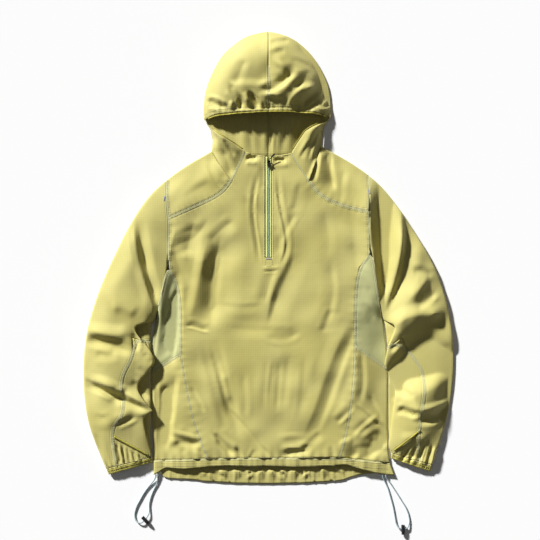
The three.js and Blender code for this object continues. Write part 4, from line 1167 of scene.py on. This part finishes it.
BODY_CREASES = creases((
    # Stitched end of the zip: the raised bar and the line under it.
    (-1.8, 3.6, 0, 0, -13, -22, 8, -24, 27, -20),
    (2.2, 2.2, 0, 0.4, -13, -29, 8, -30, 20, -27),
    # Dents of the neckline beside the slider.
    (5.5, 5, 0, 0.35, -50, 219, -38, 217, -25, 219),
    (5.5, 5, 0.3, 0.35, 12, 216, 26, 212, 38, 217),
    # Long soft lines beside the zip.
    (2.4, 4, 0.3, 0.5, -20, 190, -32, 140, -34, 90, -22, 20, -20, -10),
    (2.6, 4, -0.3, 0.5, 18, 190, 22, 130, 30, 90, 42, 40, 36, 0, 24, -16),
    # Left chest: broad dark band, its sharp foot, and the band beside it.
    (3.2, 4.8, -0.5, 0.45, -182, -148, -160, -152, -131, -161),
    (3.6, 13.2, 0.2, 0.25, -116, 35, -122, -38, -127, -104, -124, -159),
    (3, 9.9, 0.1, 0.3, -204, 48, -208, 17, -197, -23, -173, -53),
    (2.6, 11, 0.3, 0.2, -212, 17, -193, 32, -160, 39, -127, 90),
    (2.4, 9.9, 0.2, 0.3, -131, 32, -107, 59, -72, 83),
    # Long valley down the left of the front, with its sharp ridge.
    (4.6, 9.2, 0.35, 0.45, -133, -181, -120, -225, -109, -262, -98, -313, -82, -379),
    (-2.6, 6.6, -0.3, 0.1, -100, -251, -94, -282, -87, -317),
    (3.4, 5.7, 0.4, 0.5, -96, -320, -72, -348, -43, -381, -19, -414, 10, -438),
    (3.6, 7, -0.3, 0.5, -120, -381, -102, -405, -82, -434),
    (2, 4.8, 0.2, 0.5, -170, -280, -155, -309, -140, -339),
    # Left side panel.
    (3.6, 9.9, 0.3, 0.35, -226, -278, -226, -317, -232, -359),
    (3.8, 7.9, -0.4, 0.5, -212, -388, -190, -401, -162, -410, -144, -401),
    (3.2, 9.2, 0.2, 0.4, -221, -416, -195, -414, -179, -427),
    (2.2, 7.7, 0.2, 0.4, -243, -243, -217, -229, -199, -207),
    # Centre, below the zip.
    (2.6, 8.8, 0.3, 0.3, 14, -23, -1, -62, -10, -104),
    (0.8, 6.6, 0.2, 0.5, -105, -104, -63, -111, -10, -106),
    (0.8, 7.9, 0.2, 0.4, -98, -152, -45, -161, 8, -159, 69, -161),
    (1.4, 7.9, -0.3, 0.5, -6, -172, 25, -181, 52, -174, 69, -159),
    (1.8, 9.2, 0.2, 0.4, 10, -221, 3, -273, -3, -339),
    (1.5, 8.8, 0.1, 0.4, 45, -207, 38, -269, 28, -339),
    (1.3, 7.7, -0.2, 0.4, 80, -207, 76, -291, 67, -346),
    (1.2, 6.6, 0.1, 0.5, -56, -251, -50, -302, -52, -353),
    # Right of the front: the strongest fold, with its ridge.
    (-2.8, 9.9, 0.2, 0.1, 193, -172, 173, -221, 155, -280, 135, -335, 109, -388),
    (2.4, 9.2, 0.3, 0.3, 133, -9, 144, -60, 138, -104, 122, -150),
    (2.2, 8.4, -0.2, 0.4, 144, -111, 129, -137, 118, -166),
    (2.4, 5.7, 0.3, 0.5, 184, -326, 164, -348, 148, -364),
    (3.6, 6.6, -0.4, 0.5, 23, -414, 45, -408, 69, -410, 94, -414),
    (2.2, 6.6, 0.2, 0.4, 69, -427, 96, -401, 118, -383),
    # Beside the zip.
    (2.2, 7.5, 0.2, 0.3, 14, 72, 25, 43, 21, 4),
    (1.8, 7, 0.2, 0.3, 61, 101, 41, 65, 23, 30),
    (1.8, 8.8, 0.2, 0.3, -56, 136, -28, 96, -14, 43),
    (1.6, 7.7, -0.2, 0.3, 69, 167, 63, 127, 52, 96),
    (2, 9.9, 0.2, 0.2, 179, 32, 197, 4, 215, -27),
    (1.6, 11, 0.2, 0.2, 118, 105, 135, 50, 127, -1),
    # Right side panel: the pocket's mouth and what runs from it.
    (2.2, 5.3, 0.3, 0.5, 188, -320, 206, -339, 226, -355, 254, -375),
    (2, 5.7, 0.2, 0.4, 219, -298, 237, -331, 252, -359),
    (3.2, 8.8, -0.3, 0.4, 193, -392, 215, -372, 245, -359),
    (3, 7.9, 0.3, 0.4, 221, -397, 241, -416, 263, -432),
    (2.2, 7.5, 0.2, 0.4, 184, -421, 210, -414, 232, -423),
    # Gussets.
    (2.2, 6.6, 0.2, 0.4, 204, -100, 221, -113, 234, -137),
    (1.8, 6.6, -0.2, 0.4, 215, -62, 228, -84, 243, -104),
    (2.6, 7, 0.3, 0.4, -204, -40, -219, -75, -223, -115),
    (2.2, 6.2, 0.2, 0.4, -197, -75, -212, -104, -228, -159),
    (2, 6.6, -0.2, 0.4, -204, -133, -217, -168, -237, -194),
    # Yokes and shoulders.
    (2.6, 6.6, 0.3, 0.5, -131, 224, -113, 197, -89, 169),
    (2.2, 4.8, 0.2, 0.5, -120, 230, -105, 208, -87, 184),
    (2, 5.3, -0.2, 0.5, -135, 206, -120, 175, -102, 153),
    (1.6, 8.8, 0.2, 0.3, -186, 127, -160, 149, -124, 167),
    (3.4, 9.9, 0.2, 0.2, 127, 233, 135, 189, 144, 140),
    (2, 8.8, 0.2, 0.3, 168, 197, 157, 158, 160, 120),
    (1, 7, 0.2, 0.3, 226, 184, 217, 167, 221, 145),
    # Under the neckline.
    (3.4, 7, 0.2, 0.5, -45, 226, -32, 222, -19, 224),
    (3, 6.6, 0.2, 0.5, 23, 228, 34, 219, 47, 222),
    (1.8, 5.7, 0.2, 0.4, -14, 202, -10, 180, -10, 149),
    # Above the hem.
    (2.4, 5.7, 0.3, 0.5, -72, -414, -63, -430, -58, -443),
    (2.2, 5.3, -0.3, 0.5, -30, -421, -36, -434, -41, -445),
    (2.4, 5.7, 0.3, 0.5, 135, -414, 142, -430, 144, -443),
    (2, 4.8, 0.2, 0.5, -151, -419, -144, -432, -142, -443),
))
SLEEVE_CREASES = creases((
    # Left sleeve: from the shoulder down to the first mouth.
    (-2.2, 8.8, 0.2, 0.1, -311, 70, -305, 26, -294, -23),
    (1.6, 11, 0.1, 0.3, -329, 118, -344, 70, -353, 17),
    (2.2, 9.9, 0.3, 0.3, -329, 136, -302, 151, -270, 162),
    (-2.4, 13, -0.3, 0.1, -345, -112, -318, -104, -288, -126),
    (2.6, 8.8, 0.3, 0.4, -397, -168, -375, -177, -344, -183, -314, -188),
    (1.8, 7.9, 0.2, 0.4, -377, -207, -353, -216, -331, -203),
    (3.8, 8.4, -0.4, 0.45, -406, -265, -384, -273, -362, -291, -333, -306),
    (2.2, 7.5, 0.2, 0.4, -344, -317, -322, -300, -302, -287),
    (2.6, 8.4, 0.3, 0.4, -300, -269, -280, -287, -261, -313),
    (1.1, 7, 0.3, 0.5, -380, -344, -362, -353, -344, -344),
    (2.4, 7, -0.3, 0.4, -331, -366, -309, -357, -287, -344),
    (1.8, 8.8, 0.1, 0.3, -380, -383, -371, -414, -366, -449),
    (3.4, 6.6, 0.3, 0.5, -298, -163, -285, -181, -289, -207),
    (1.2, 7.5, 0.3, 0.4, -270, -207, -261, -225, -252, -229),
    (1.3, 7, -0.3, 0.4, -285, -238, -270, -251, -256, -265),
    # The gathered wedge under the left binding.
    (2.8, 3.5, 0.2, 0.6, -333, -405, -327, -427, -324, -454),
    (2.6, 3.3, -0.2, 0.6, -322, -410, -316, -434, -314, -454),
    (2.6, 3.3, 0.2, 0.6, -311, -416, -305, -436, -302, -454),
    (2.4, 3.3, -0.2, 0.6, -298, -423, -292, -438, -289, -452),
    (2.2, 3.1, 0.2, 0.6, -285, -430, -278, -443, -276, -452),
    # Right sleeve: the deep shadow beside the armhole, and the ridge over it.
    (-3, 8.8, 0.3, 0.1, 294, 70, 289, 17, 272, -40, 254, -102),
    (2.2, 8.8, 0.2, 0.4, 314, -31, 333, -27, 360, -40),
    (-3, 9.9, 0.2, 0.1, 355, -31, 329, -67, 305, -93),
    (2.4, 8.8, 0.3, 0.4, 369, -71, 349, -93, 322, -111),
    (3, 7.5, -0.3, 0.4, 263, -207, 285, -185, 300, -177),
    (0.9, 9, 0.3, 0.4, 298, -265, 316, -251, 342, -251),
    (3, 7, -0.3, 0.5, 283, -331, 302, -335, 329, -344),
    (2.6, 6.6, 0.2, 0.4, 280, -278, 298, -295, 320, -304),
    (2, 7.9, 0.2, 0.3, 369, -379, 386, -357, 399, -335),
    # Gathers over the right cuff.
    (2.8, 3.5, 0.2, 0.6, 309, -414, 298, -432, 292, -449),
    (2.6, 3.3, -0.2, 0.6, 322, -410, 314, -432, 307, -452),
    (2.8, 3.3, 0.2, 0.6, 342, -410, 333, -434, 327, -456),
    (2.8, 3.5, -0.2, 0.6, 358, -410, 351, -436, 346, -458),
    (2.6, 3.3, 0.2, 0.6, 373, -414, 369, -436, 364, -460),
    (2.4, 3.3, -0.2, 0.6, 388, -419, 384, -441, 380, -460),
))
HOOD_CREASES = creases((
    # Crown: the gathers over the casing, left to right.
    (3.6, 5.3, 0.3, 0.5, -133, 349, -120, 343, -105, 336, -94, 325),
    (2.8, 4.4, -0.2, 0.5, -135, 332, -122, 332, -109, 325),
    (4, 6.2, 0.45, 0.4, -87, 378, -69, 365, -56, 345, -52, 325),
    (3, 3.5, 0.2, 0.6, -78, 345, -72, 334, -72, 323),
    (3, 3.5, -0.2, 0.6, -65, 345, -61, 334, -61, 323),
    (3.8, 5.3, 0.4, 0.5, -45, 360, -32, 349, -23, 338, -19, 325),
    (2.8, 6.6, 0.3, 0.4, -16, 356, 3, 345, 28, 340),
    (2.4, 4, 0.2, 0.5, -1, 338, 3, 329, 6, 323),
    (3.6, 7.9, 0.35, 0.35, 56, 406, 36, 382, 12, 367, -16, 356),
    (3.8, 7.5, 0.4, 0.35, 76, 382, 54, 362, 41, 343, 32, 329),
    (3.4, 6.6, 0.35, 0.4, 109, 362, 94, 351, 80, 338, 74, 327),
    (3, 4.8, 0.3, 0.5, 133, 356, 120, 345, 111, 332),
    (2.4, 4.4, 0.2, 0.5, 135, 336, 122, 332, 107, 327),
    (2, 8.8, 0.2, 0.2, -50, 431, -63, 400, -72, 373),
    (2, 7, 0.2, 0.4, 3, 439, 21, 448, 38, 450),
    (1.8, 5.7, 0.2, 0.4, 1, 464, 21, 475, 47, 475),
    (2.2, 6.6, 0.2, 0.4, 3, 420, 23, 413, 34, 395),
    (1.8, 7.5, 0.2, 0.3, 47, 431, 78, 426, 105, 404),
    # Back layer seen through the face opening.
    (3, 6.6, 0.2, 0.4, -54, 294, -41, 277, -36, 246),
    (2.4, 6.6, 0.2, 0.4, 43, 290, 32, 263, 30, 241),
    (2, 5.7, 0.2, 0.4, -89, 290, -80, 263, -63, 241),
    # Side pieces of the hood.
    (1.5, 7, 0.3, 0.4, -116, 272, -100, 241, -87, 215),
    (2.4, 4.8, -0.2, 0.4, -98, 259, -85, 237, -74, 219),
    (2.8, 5.3, 0.3, 0.4, 109, 281, 96, 246, 85, 211),
    (2.2, 4.8, -0.2, 0.4, 91, 255, 78, 233, 69, 215),
))
BODY_SLOPES = slopes((
    # Right edge of the body, lifted over the sleeve that tucks under it.
    (7.5, 7.5, 42, 10, 4, (250, -135, 234, -45, 224, 17, 221, 94, 216, 195),
     (262, -135, 254, -45, 252, 17, 252, 94, 246, 195)),
    (1, 8, 4, 18, 14, (-250, -430, -248, -390, -250, -330, -254, -270),
     (-228, -430, -224, -390, -222, -330, -226, -270)),
    # Left side: the whole panel leans out to the right under the sleeve's shadow.
    (3, 11, 6, 10, 20, (-248, -235, -240, -160, -232, -60), (-212, -235, -206, -160, -204, -60)),
    # Left chest: the broad dark plane, and the small one under the yoke.
    (4.2, 7.6, 22, 64, 26, (-175, -155, -155, -71, -144, -9, -133, 48),
     (-124, -159, -122, -93, -113, -9, -105, 57)),
    (2.7, 5.2, 14, 30, 16, (-221, -9, -212, 28, -199, 72), (-182, -1, -173, 39, -164, 79)),
    # Centre, falling from the zip's end.
    (1.7, 2.9, 24, 40, 10, (-6, -150, 1, -104, 12, -60, 34, -23, 52, 21),
     (1, -150, 14, -104, 28, -64, 47, -27, 61, 17)),
    (1.4, 2.1, 12, 12, 16, (-1, -344, -1, -280, 8, -214), (16, -344, 19, -280, 25, -214)),
    # Right of the front: the strongest fold.
    (3.5, 5, 30, 50, 18, (67, -410, 98, -339, 124, -258, 157, -177, 184, -133),
     (96, -410, 122, -339, 148, -265, 179, -185, 193, -133)),
    # Left of the front.
    (2.2, 4, 16, 22, 10, (-76, -401, -98, -322, -116, -251, -135, -170),
     (-63, -401, -87, -322, -105, -251, -122, -170)),
    (3.4, 3.9, 12, 14, 18, (-122, -379, -98, -397, -63, -423), (-116, -397, -89, -419, -72, -436)),
    (3.4, 3.8, 14, 12, 14, (21, -414, 58, -410, 100, -410), (23, -436, 52, -427, 96, -421)),
    # Left gusset and side panel.
    (1.4, 6.5, 8, 14, 20, (-254, -199, -239, -115, -230, -14), (-204, -207, -197, -115, -204, -18)),
    (2.7, 5.2, 10, 14, 14, (-239, -366, -237, -313, -239, -258), (-217, -366, -212, -309, -204, -251)),
    (3.4, 5.2, 10, 12, 12, (-212, -383, -184, -388, -144, -401), (-208, -401, -177, -410, -151, -419)),
    # Right side panel: the pocket's mouth and the folds over the hem.
    (1.6, 2.6, 6, 12, 10, (184, -326, 190, -278, 193, -194), (195, -326, 210, -278, 201, -194)),
    (4.1, 5.2, 12, 14, 22, (184, -401, 206, -375, 245, -344), (201, -441, 232, -427, 263, -392)),
    (2.7, 3.9, 10, 10, 12, (153, -414, 170, -401, 188, -397), (166, -445, 184, -436, 197, -423)),
    # Right yoke.
    (3.4, 4.5, 8, 10, 12, (105, 158, 113, 197, 118, 237), (144, 145, 135, 193, 131, 237)),
))
SLEEVE_SLOPES = slopes((
    # Left sleeve: its inner edge stands up beside the body.
    (6, 2, 46, 10, 4, (-262, -450, -252, -360, -246, -260, -250, -130, -262, -60),
     (-250, -450, -240, -360, -234, -260, -238, -130, -250, -60)),
    # Right sleeve under the elbow: the outer half leans away from the light.
    (7, 8, 24, 20, 40, (338, -380, 322, -320, 304, -262, 296, -205),
     (396, -400, 410, -330, 412, -262, 404, -200)),
    (2.6, 3.6, 16, 16, 24, (285, -395, 318, -392, 352, -398), (282, -430, 316, -432, 350, -438)),
    # Right sleeve: the fall beside the armhole, the ridge over it, the deep fold at the elbow.
    (6.3, 14.3, 8, 44, 8, (250, -135, 234, -45, 224, 17, 221, 94, 216, 195),
     (256, -135, 254, -45, 252, 17, 252, 94, 246, 195)),
    (5.4, 6.5, 24, 34, 8, (248, -128, 272, -64, 287, -9, 292, 50, 289, 109),
     (256, -128, 287, -67, 300, -9, 305, 50, 296, 109)),
    (8.5, 24, 30, 60, 24, (258, -177, 283, -141, 307, -128, 344, -124, 397, -122),
     (240, -262, 275, -256, 318, -243, 364, -218, 402, -184)),
    (2.4, 1.8, 26, 36, 34, (298, -126, 329, -78, 351, -34), (360, -126, 358, -82, 355, -34)),
    (4.1, 6.5, 14, 16, 14, (316, -331, 333, -333, 369, -326, 404, -311),
     (316, -348, 333, -357, 373, -350, 406, -335)),
    (2, 3.9, 10, 10, 10, (276, -322, 302, -324, 333, -337), (276, -335, 302, -339, 333, -348)),
    # Left sleeve: from the shoulder down to the mouths.
    (2.7, 7.8, 20, 22, 7, (-248, -117, -265, -71, -280, -27, -292, 28, -296, 87),
     (-243, -117, -254, -71, -267, -27, -278, 28, -287, 87)),
    (5.4, 5.2, 26, 18, 16, (-406, -163, -371, -163, -331, -170, -292, -163),
     (-406, -177, -371, -185, -331, -196, -292, -207)),
    (6.8, 5.2, 20, 14, 12, (-415, -262, -371, -271, -327, -289, -283, -311, -248, -331),
     (-415, -271, -371, -287, -327, -306, -283, -326, -248, -339)),
))
HOOD_SLOPES = slopes((
    # Right side of the crown, and the brow: cloth that leans away from the light.
    (3.5, 19, 34, 12, 40, (48, 322, 44, 366, 34, 410, 16, 452, 2, 492),
     (176, 312, 174, 358, 162, 404, 142, 456, 112, 500)),
    (4, 4, 18, 8, 16, (-96, 372, -40, 374, 20, 370, 80, 366), (-96, 328, -40, 326, 20, 324, 80, 326)),
    # Crown: planes that face away from the light, top to bottom.
    (2.4, 3, 16, 20, 22, (-6, 411, 25, 415, 58, 422), (-6, 387, 21, 378, 43, 382)),
    (1.8, 2.2, 14, 18, 16, (54, 373, 61, 395, 69, 413), (69, 373, 82, 395, 87, 413)),
    (1.6, 1.6, 10, 12, 12, (-28, 371, -1, 382, 30, 391), (-23, 365, 8, 369, 34, 378)),
    (3.4, 3.9, 12, 10, 16, (-23, 351, 3, 354, 30, 351), (-19, 325, 3, 325, 25, 327)),
    (5.4, 6.5, 16, 14, 24, (34, 329, 52, 354, 78, 369, 113, 371), (43, 321, 69, 321, 96, 329, 118, 351)),
    (2.7, 3.2, 14, 8, 8, (-89, 376, -63, 358, -36, 329), (-87, 371, -67, 345, -50, 325)),
    (4.1, 4.5, 10, 6, 8, (-41, 325, -45, 345, -50, 362), (-21, 325, -28, 345, -41, 362)),
    (3.4, 3.9, 8, 5, 6, (-80, 323, -78, 343), (-63, 323, -67, 345)),
    (2.7, 3.2, 10, 6, 6, (-138, 351, -116, 347, -89, 332), (-138, 345, -120, 338, -94, 327)),
    # Side pieces of the hood.
    (4.1, 5.2, 8, 6, 10, (87, 162, 96, 189, 109, 219), (105, 162, 113, 189, 122, 219)),
    (2.7, 3.9, 10, 14, 14, (-94, 171, -107, 204, -120, 237), (-80, 175, -89, 208, -102, 241)),
))
# The back hem: its lower half turns under, and its gathers run slantwise.
BACK_HEM_SLOPES = slopes((
    (5, 0.5, 6, 4, 8, (-205, -462, -74, -470, 88, -469, 225, -455),
     (-212, -484, -74, -497, 88, -496, 232, -474)),
))
BACK_HEM_CREASES = creases((
    (3, 4, 0.3, 0.5, -150, -462, -120, -470, -95, -484),
    (3, 4, -0.3, 0.5, -60, -484, -40, -472, -10, -462),
    (3.4, 4, 0.3, 0.5, 0, -458, 22, -468, 40, -482),
    (3, 4, -0.3, 0.5, 62, -484, 80, -470, 104, -460),
    (3, 4, 0.3, 0.5, 128, -460, 150, -470, 166, -480),
))
# The hood's back layer, seen through the face opening: its swell, then its creases.
NAPE_CREASES = creases((
    (-10, 46, 0, 0, -74, 288, 74, 288),
    (4.5, 5, 0.3, 0.5, 1, 330, 3, 296, 5, 262, 4, 232),
    (3.4, 7, 0.2, 0.4, -54, 300, -42, 280, -36, 246),
    (3, 7, -0.2, 0.4, 43, 296, 32, 270, 30, 242),
    (3, 6, 0.2, 0.4, -89, 296, -80, 270, -62, 246),
))


class Garment:
    """Every panel of the anorak, in order."""

    def __init__(self) -> None:
        """Sets the reliefs."""
        body = [Puckers(13, 0.5, 9, YOKE["left"]), Puckers(15, 0.4, 8, YOKE["right"]),
                Puckers(17, 0.4, 7, SEAM["left"]), Puckers(18, 0.4, 7, SEAM["right"]),
                Puckers(19, 0.7, 12, HEM_LINE)]
        cuffs = [Puckers(11, 0.7, 12, seam) for seam in CUFF_SEAM.values()]
        hem = [Puckers(37, 0.9, 40, HEM_LINE), Puckers(14, 0.3, 40, HEM_LINE)]
        back = [Puckers(24, 1.2, 40, BACK_LINE), Puckers(11, 0.5, 40, BACK_LINE)]
        self.body = Relief(BODY_CREASES, body, 0.8, 3, 0.7, BODY_SLOPES, 1.05)
        self.sleeve = Relief(SLEEVE_CREASES, cuffs, 0.8, 5, 1.1, SLEEVE_SLOPES, 1.25)
        self.hood = Relief(HOOD_CREASES, [Puckers(12, 0.9, 9, FACE_EDGE)], 0.7, 8, 1.1, HOOD_SLOPES, 1.1)
        self.nape = Relief(NAPE_CREASES, (), 0.0, 2)
        self.hem = Relief((), hem, 0.2, 9)
        self.back_hem = Relief(BACK_HEM_CREASES, back, 0.2, 4, 1.0, BACK_HEM_SLOPES)
        self.plain = Relief((), (), 0.0, 1)

    def panels(self) -> list[Panel]:
        """Lists the panels with their finishes and cuts.

        Returns:
            The panels, in the order in which they are built.
        """
        listed = [
            Panel("front_panel", SHELL, Hold.LAID, (0.45, 0.68, 0.235), self.body,
                  seams=[YOKE["left"], YOKE["right"]]),
            Panel("back_panel", SHELL, Hold.LAID, (0.45, 0.70, 0.235), self.plain, rounds=1),
            Panel("hem_front", SHELL, Hold.GATHERED, (0.55, 0.022, 0.0118), self.hem, rounds=2,
                  seams=[HEM_LINE]),
            Panel("hem_back", SHELL, Hold.GATHERED, (0.53, 0.055, 0.0255), self.back_hem, rounds=2,
                  base=0.4, rise=2.6),
            Panel("zip_tape_left", TAPE, Hold.LAID, (0.01, 0.222, 0.0013), self.body, rounds=1),
            Panel("zip_tape_right", TAPE, Hold.LAID, (0.01, 0.222, 0.0013), self.body, rounds=1),
        ]
        for side in ("left", "right"):
            listed += [
                Panel(f"side_panel_{side}", SHELL, Hold.FOLDED, (0.24, 0.26, 0.039), self.body,
                      seams=[GUSSET_FOOT[side]]),
                Panel(f"gusset_{side}", GUSSET, Hold.FOLDED, (0.14, 0.25, 0.0225), self.body,
                      seams=[GUSSET_FOOT[side], SEAM[side][6:13], EDGE[side][3:]]),
                Panel(f"yoke_{side}", SHELL, Hold.FOLDED, (0.17, 0.17, 0.0245), self.body,
                      seams=[YOKE[side], ARMHOLE[side][:3]]),
                Panel(f"sleeve_{side}", SHELL, Hold.FOLDED, (0.40, 0.68, 0.14), self.sleeve,
                      seams=[ARMHOLE[side], FOREARM[side]], cell=5.0),
                Panel(f"forearm_{side}", SHELL, Hold.FOLDED, (0.13, 0.30, 0.022), self.sleeve,
                      seams=[FOREARM[side]]),
                Panel(f"cuff_{side}", SHELL, Hold.GATHERED, (0.21, 0.018, 0.0031), self.sleeve, rounds=2),
                Panel(f"hood_{side}", SHELL, Hold.FOLDED, (0.20, 0.42, 0.056), self.hood,
                      seams=[CROWN_SEAM, NAPE_SEAM], floor=self.nape),
                Panel(f"hood_side_{side}", SHELL, Hold.FOLDED, (0.12, 0.16, 0.0058), self.hood),
                Panel(f"cuff_binding_{side}", BINDING, Hold.LAID, (0.011, 0.09, 0.0004), self.sleeve,
                      rounds=1),
                Panel(f"hood_binding_{side}", BINDING, Hold.LAID, (0.011, 0.14, 0.0008), self.hood,
                      rounds=1),
                Panel(f"hood_side_binding_{side}", BINDING, Hold.LAID, (0.01, 0.08, 0.0003), self.hood,
                      rounds=1),
            ]
        return listed


def stitch_rows() -> list[StitchRow]:
    """Rows of stitches beside the seams.

    Returns:
        Them, in the order in which they are laid.
    """
    rows = []
    for side, way in (("left", 1), ("right", -1)):
        rows += [StitchRow(YOKE[side], 1.8), StitchRow(YOKE[side], 5.0), StitchRow(YOKE[side], -2.0),
                 StitchRow(SEAM[side][:7], way * 2.0), StitchRow(SEAM[side][6:13], way * 1.8),
                 StitchRow(SEAM[side][6:13], way * -2.2), StitchRow(GUSSET_FOOT[side], 1.8),
                 StitchRow(GUSSET_FOOT[side], -1.8), StitchRow(ARMHOLE[side], way * 2.2),
                 StitchRow(ARMHOLE[side], way * 5.2), StitchRow(EDGE[side][3:], 2.0),
                 StitchRow(FOREARM[side], 2.0), StitchRow(FOREARM[side], -2.0),
                 StitchRow(CUFF_SEAM[side], 2.0), StitchRow(BINDING_LINE[side], 4.0),
                 StitchRow(BINDING_LINE[side], -4.0), StitchRow(NECK[side], 2.0)]
    rows += [StitchRow(HEM_LINE, 1.6), StitchRow(HEM_LINE, -14.0), StitchRow(NECKLINE, -2.0),
             StitchRow(FACE_EDGE, 3.0), StitchRow(FACE_EDGE, 10.0), StitchRow(CROWN_SEAM, 2.0),
             StitchRow(CROWN_SEAM, -2.0), StitchRow(((-8, 0), (-8, 222)), 1.2),
             StitchRow(((9, 0), (9, 222)), -1.2), StitchRow(((-7, -3), (-7, -19)), 0),
             StitchRow(((8, -3), (8, -19)), 0), StitchRow(((-7, -19), (8, -19)), 0)]
    return rows


def seam_bands() -> list[SeamBand]:
    """Bands of thread over the flat seams.

    Returns:
        Them, in the order in which they are laid.
    """
    bands = [SeamBand(YOKE["left"], 4.6), SeamBand(NECK["left"], 4.6), SeamBand(YOKE["right"], 3.4),
             SeamBand(NECK["right"], 3.0), SeamBand(ARMHOLE["left"], 3.0), SeamBand(ARMHOLE["right"][:2], 2.6)]
    for side in ("left", "right"):
        bands += [SeamBand(SEAM[side], 3.2), SeamBand(GUSSET_FOOT[side], 3.4), SeamBand(EDGE[side][4:], 3.0),
                  SeamBand(FOREARM[side], 3.2)]
    return bands


def cuff_pipings() -> list[SeamBand]:
    """Two pipings along the edge of each cuff."""
    return [SeamBand(CUFF_EDGE[side], 2.4, offset) for side, offsets in
            (("left", (2.4, 8.0)), ("right", (-2.4, -8.0))) for offset in offsets]


# Studio


@dataclass
class Studio:
    """Floor, lights and camera."""

    lens: float = 85.0
    sensor: float = 36.0
    across: float = 1.188
    aim: tuple[float, float] = (0.0033, -0.027)
    floor_size: float = 12.0
    key: float = 7.15
    fill: float = 0.10
    way: tuple[float, float, float] = (0.62, -0.78, -0.42)
    softness: float = math.radians(5)
    floor_white: float = 0.99

    FLOOR_DROP = -0.0004
    CLIP = 50

    def build(self) -> None:
        """Places the camera, then the floor and the lights."""
        scene = bpy.context.scene
        camera = bpy.data.cameras.new("photo_camera")
        camera.lens = self.lens
        camera.sensor_width = self.sensor
        camera.clip_end = self.CLIP
        holder = bpy.data.objects.new("photo_camera", camera)
        holder.location = (*self.aim, self.across * self.lens / self.sensor)
        scene.collection.objects.link(holder)
        scene.camera = holder
        bm = bmesh.new()
        bmesh.ops.create_grid(bm, x_segments=1, y_segments=1, size=self.floor_size / 2,
                              matrix=Matrix.Translation((0, 0, self.FLOOR_DROP)))
        white = bpy.data.materials.new("pale_floor")
        white.use_nodes = True
        Materials.wire(white.node_tree, white.node_tree.nodes["Principled BSDF"], {
            "Base Color": (*[self.floor_white] * 3, 1), "Roughness": 0.95, "Specular IOR Level": 0.0})
        as_object("studio_floor", bm, white)
        sun = bpy.data.lights.new("key_light", "SUN")
        sun.energy = self.key
        sun.angle = self.softness
        light = bpy.data.objects.new("key_light", sun)
        light.rotation_euler = Vector(self.way).to_track_quat("-Z", "Y").to_euler()
        scene.collection.objects.link(light)
        world = bpy.data.worlds.new("studio_world")
        world.use_nodes = True
        Materials.wire(world.node_tree, world.node_tree.nodes["Background"],
                       {"Color": (1, 1, 1, 1), "Strength": self.fill})
        scene.world = world
        scene.view_settings.view_transform = "Standard"
        scene.view_settings.look = "None"


def main() -> None:
    """Builds the scene in order."""
    logging.basicConfig(level=logging.INFO, format="%(name)s %(message)s")
    materials = Materials()
    Studio().build()
    for side, route in CORD_ROUTES.items():
        Drawcord(side, route).build(materials)
    pieces = [panel.build(materials) for panel in Garment().panels()]
    surface = Surface(pieces)
    Zip().build(materials, surface)
    Sewing(stitch_rows(), seam_bands(), TACKS, cuff_pipings()).build(materials, surface)


if __name__ == "__main__":
    main()
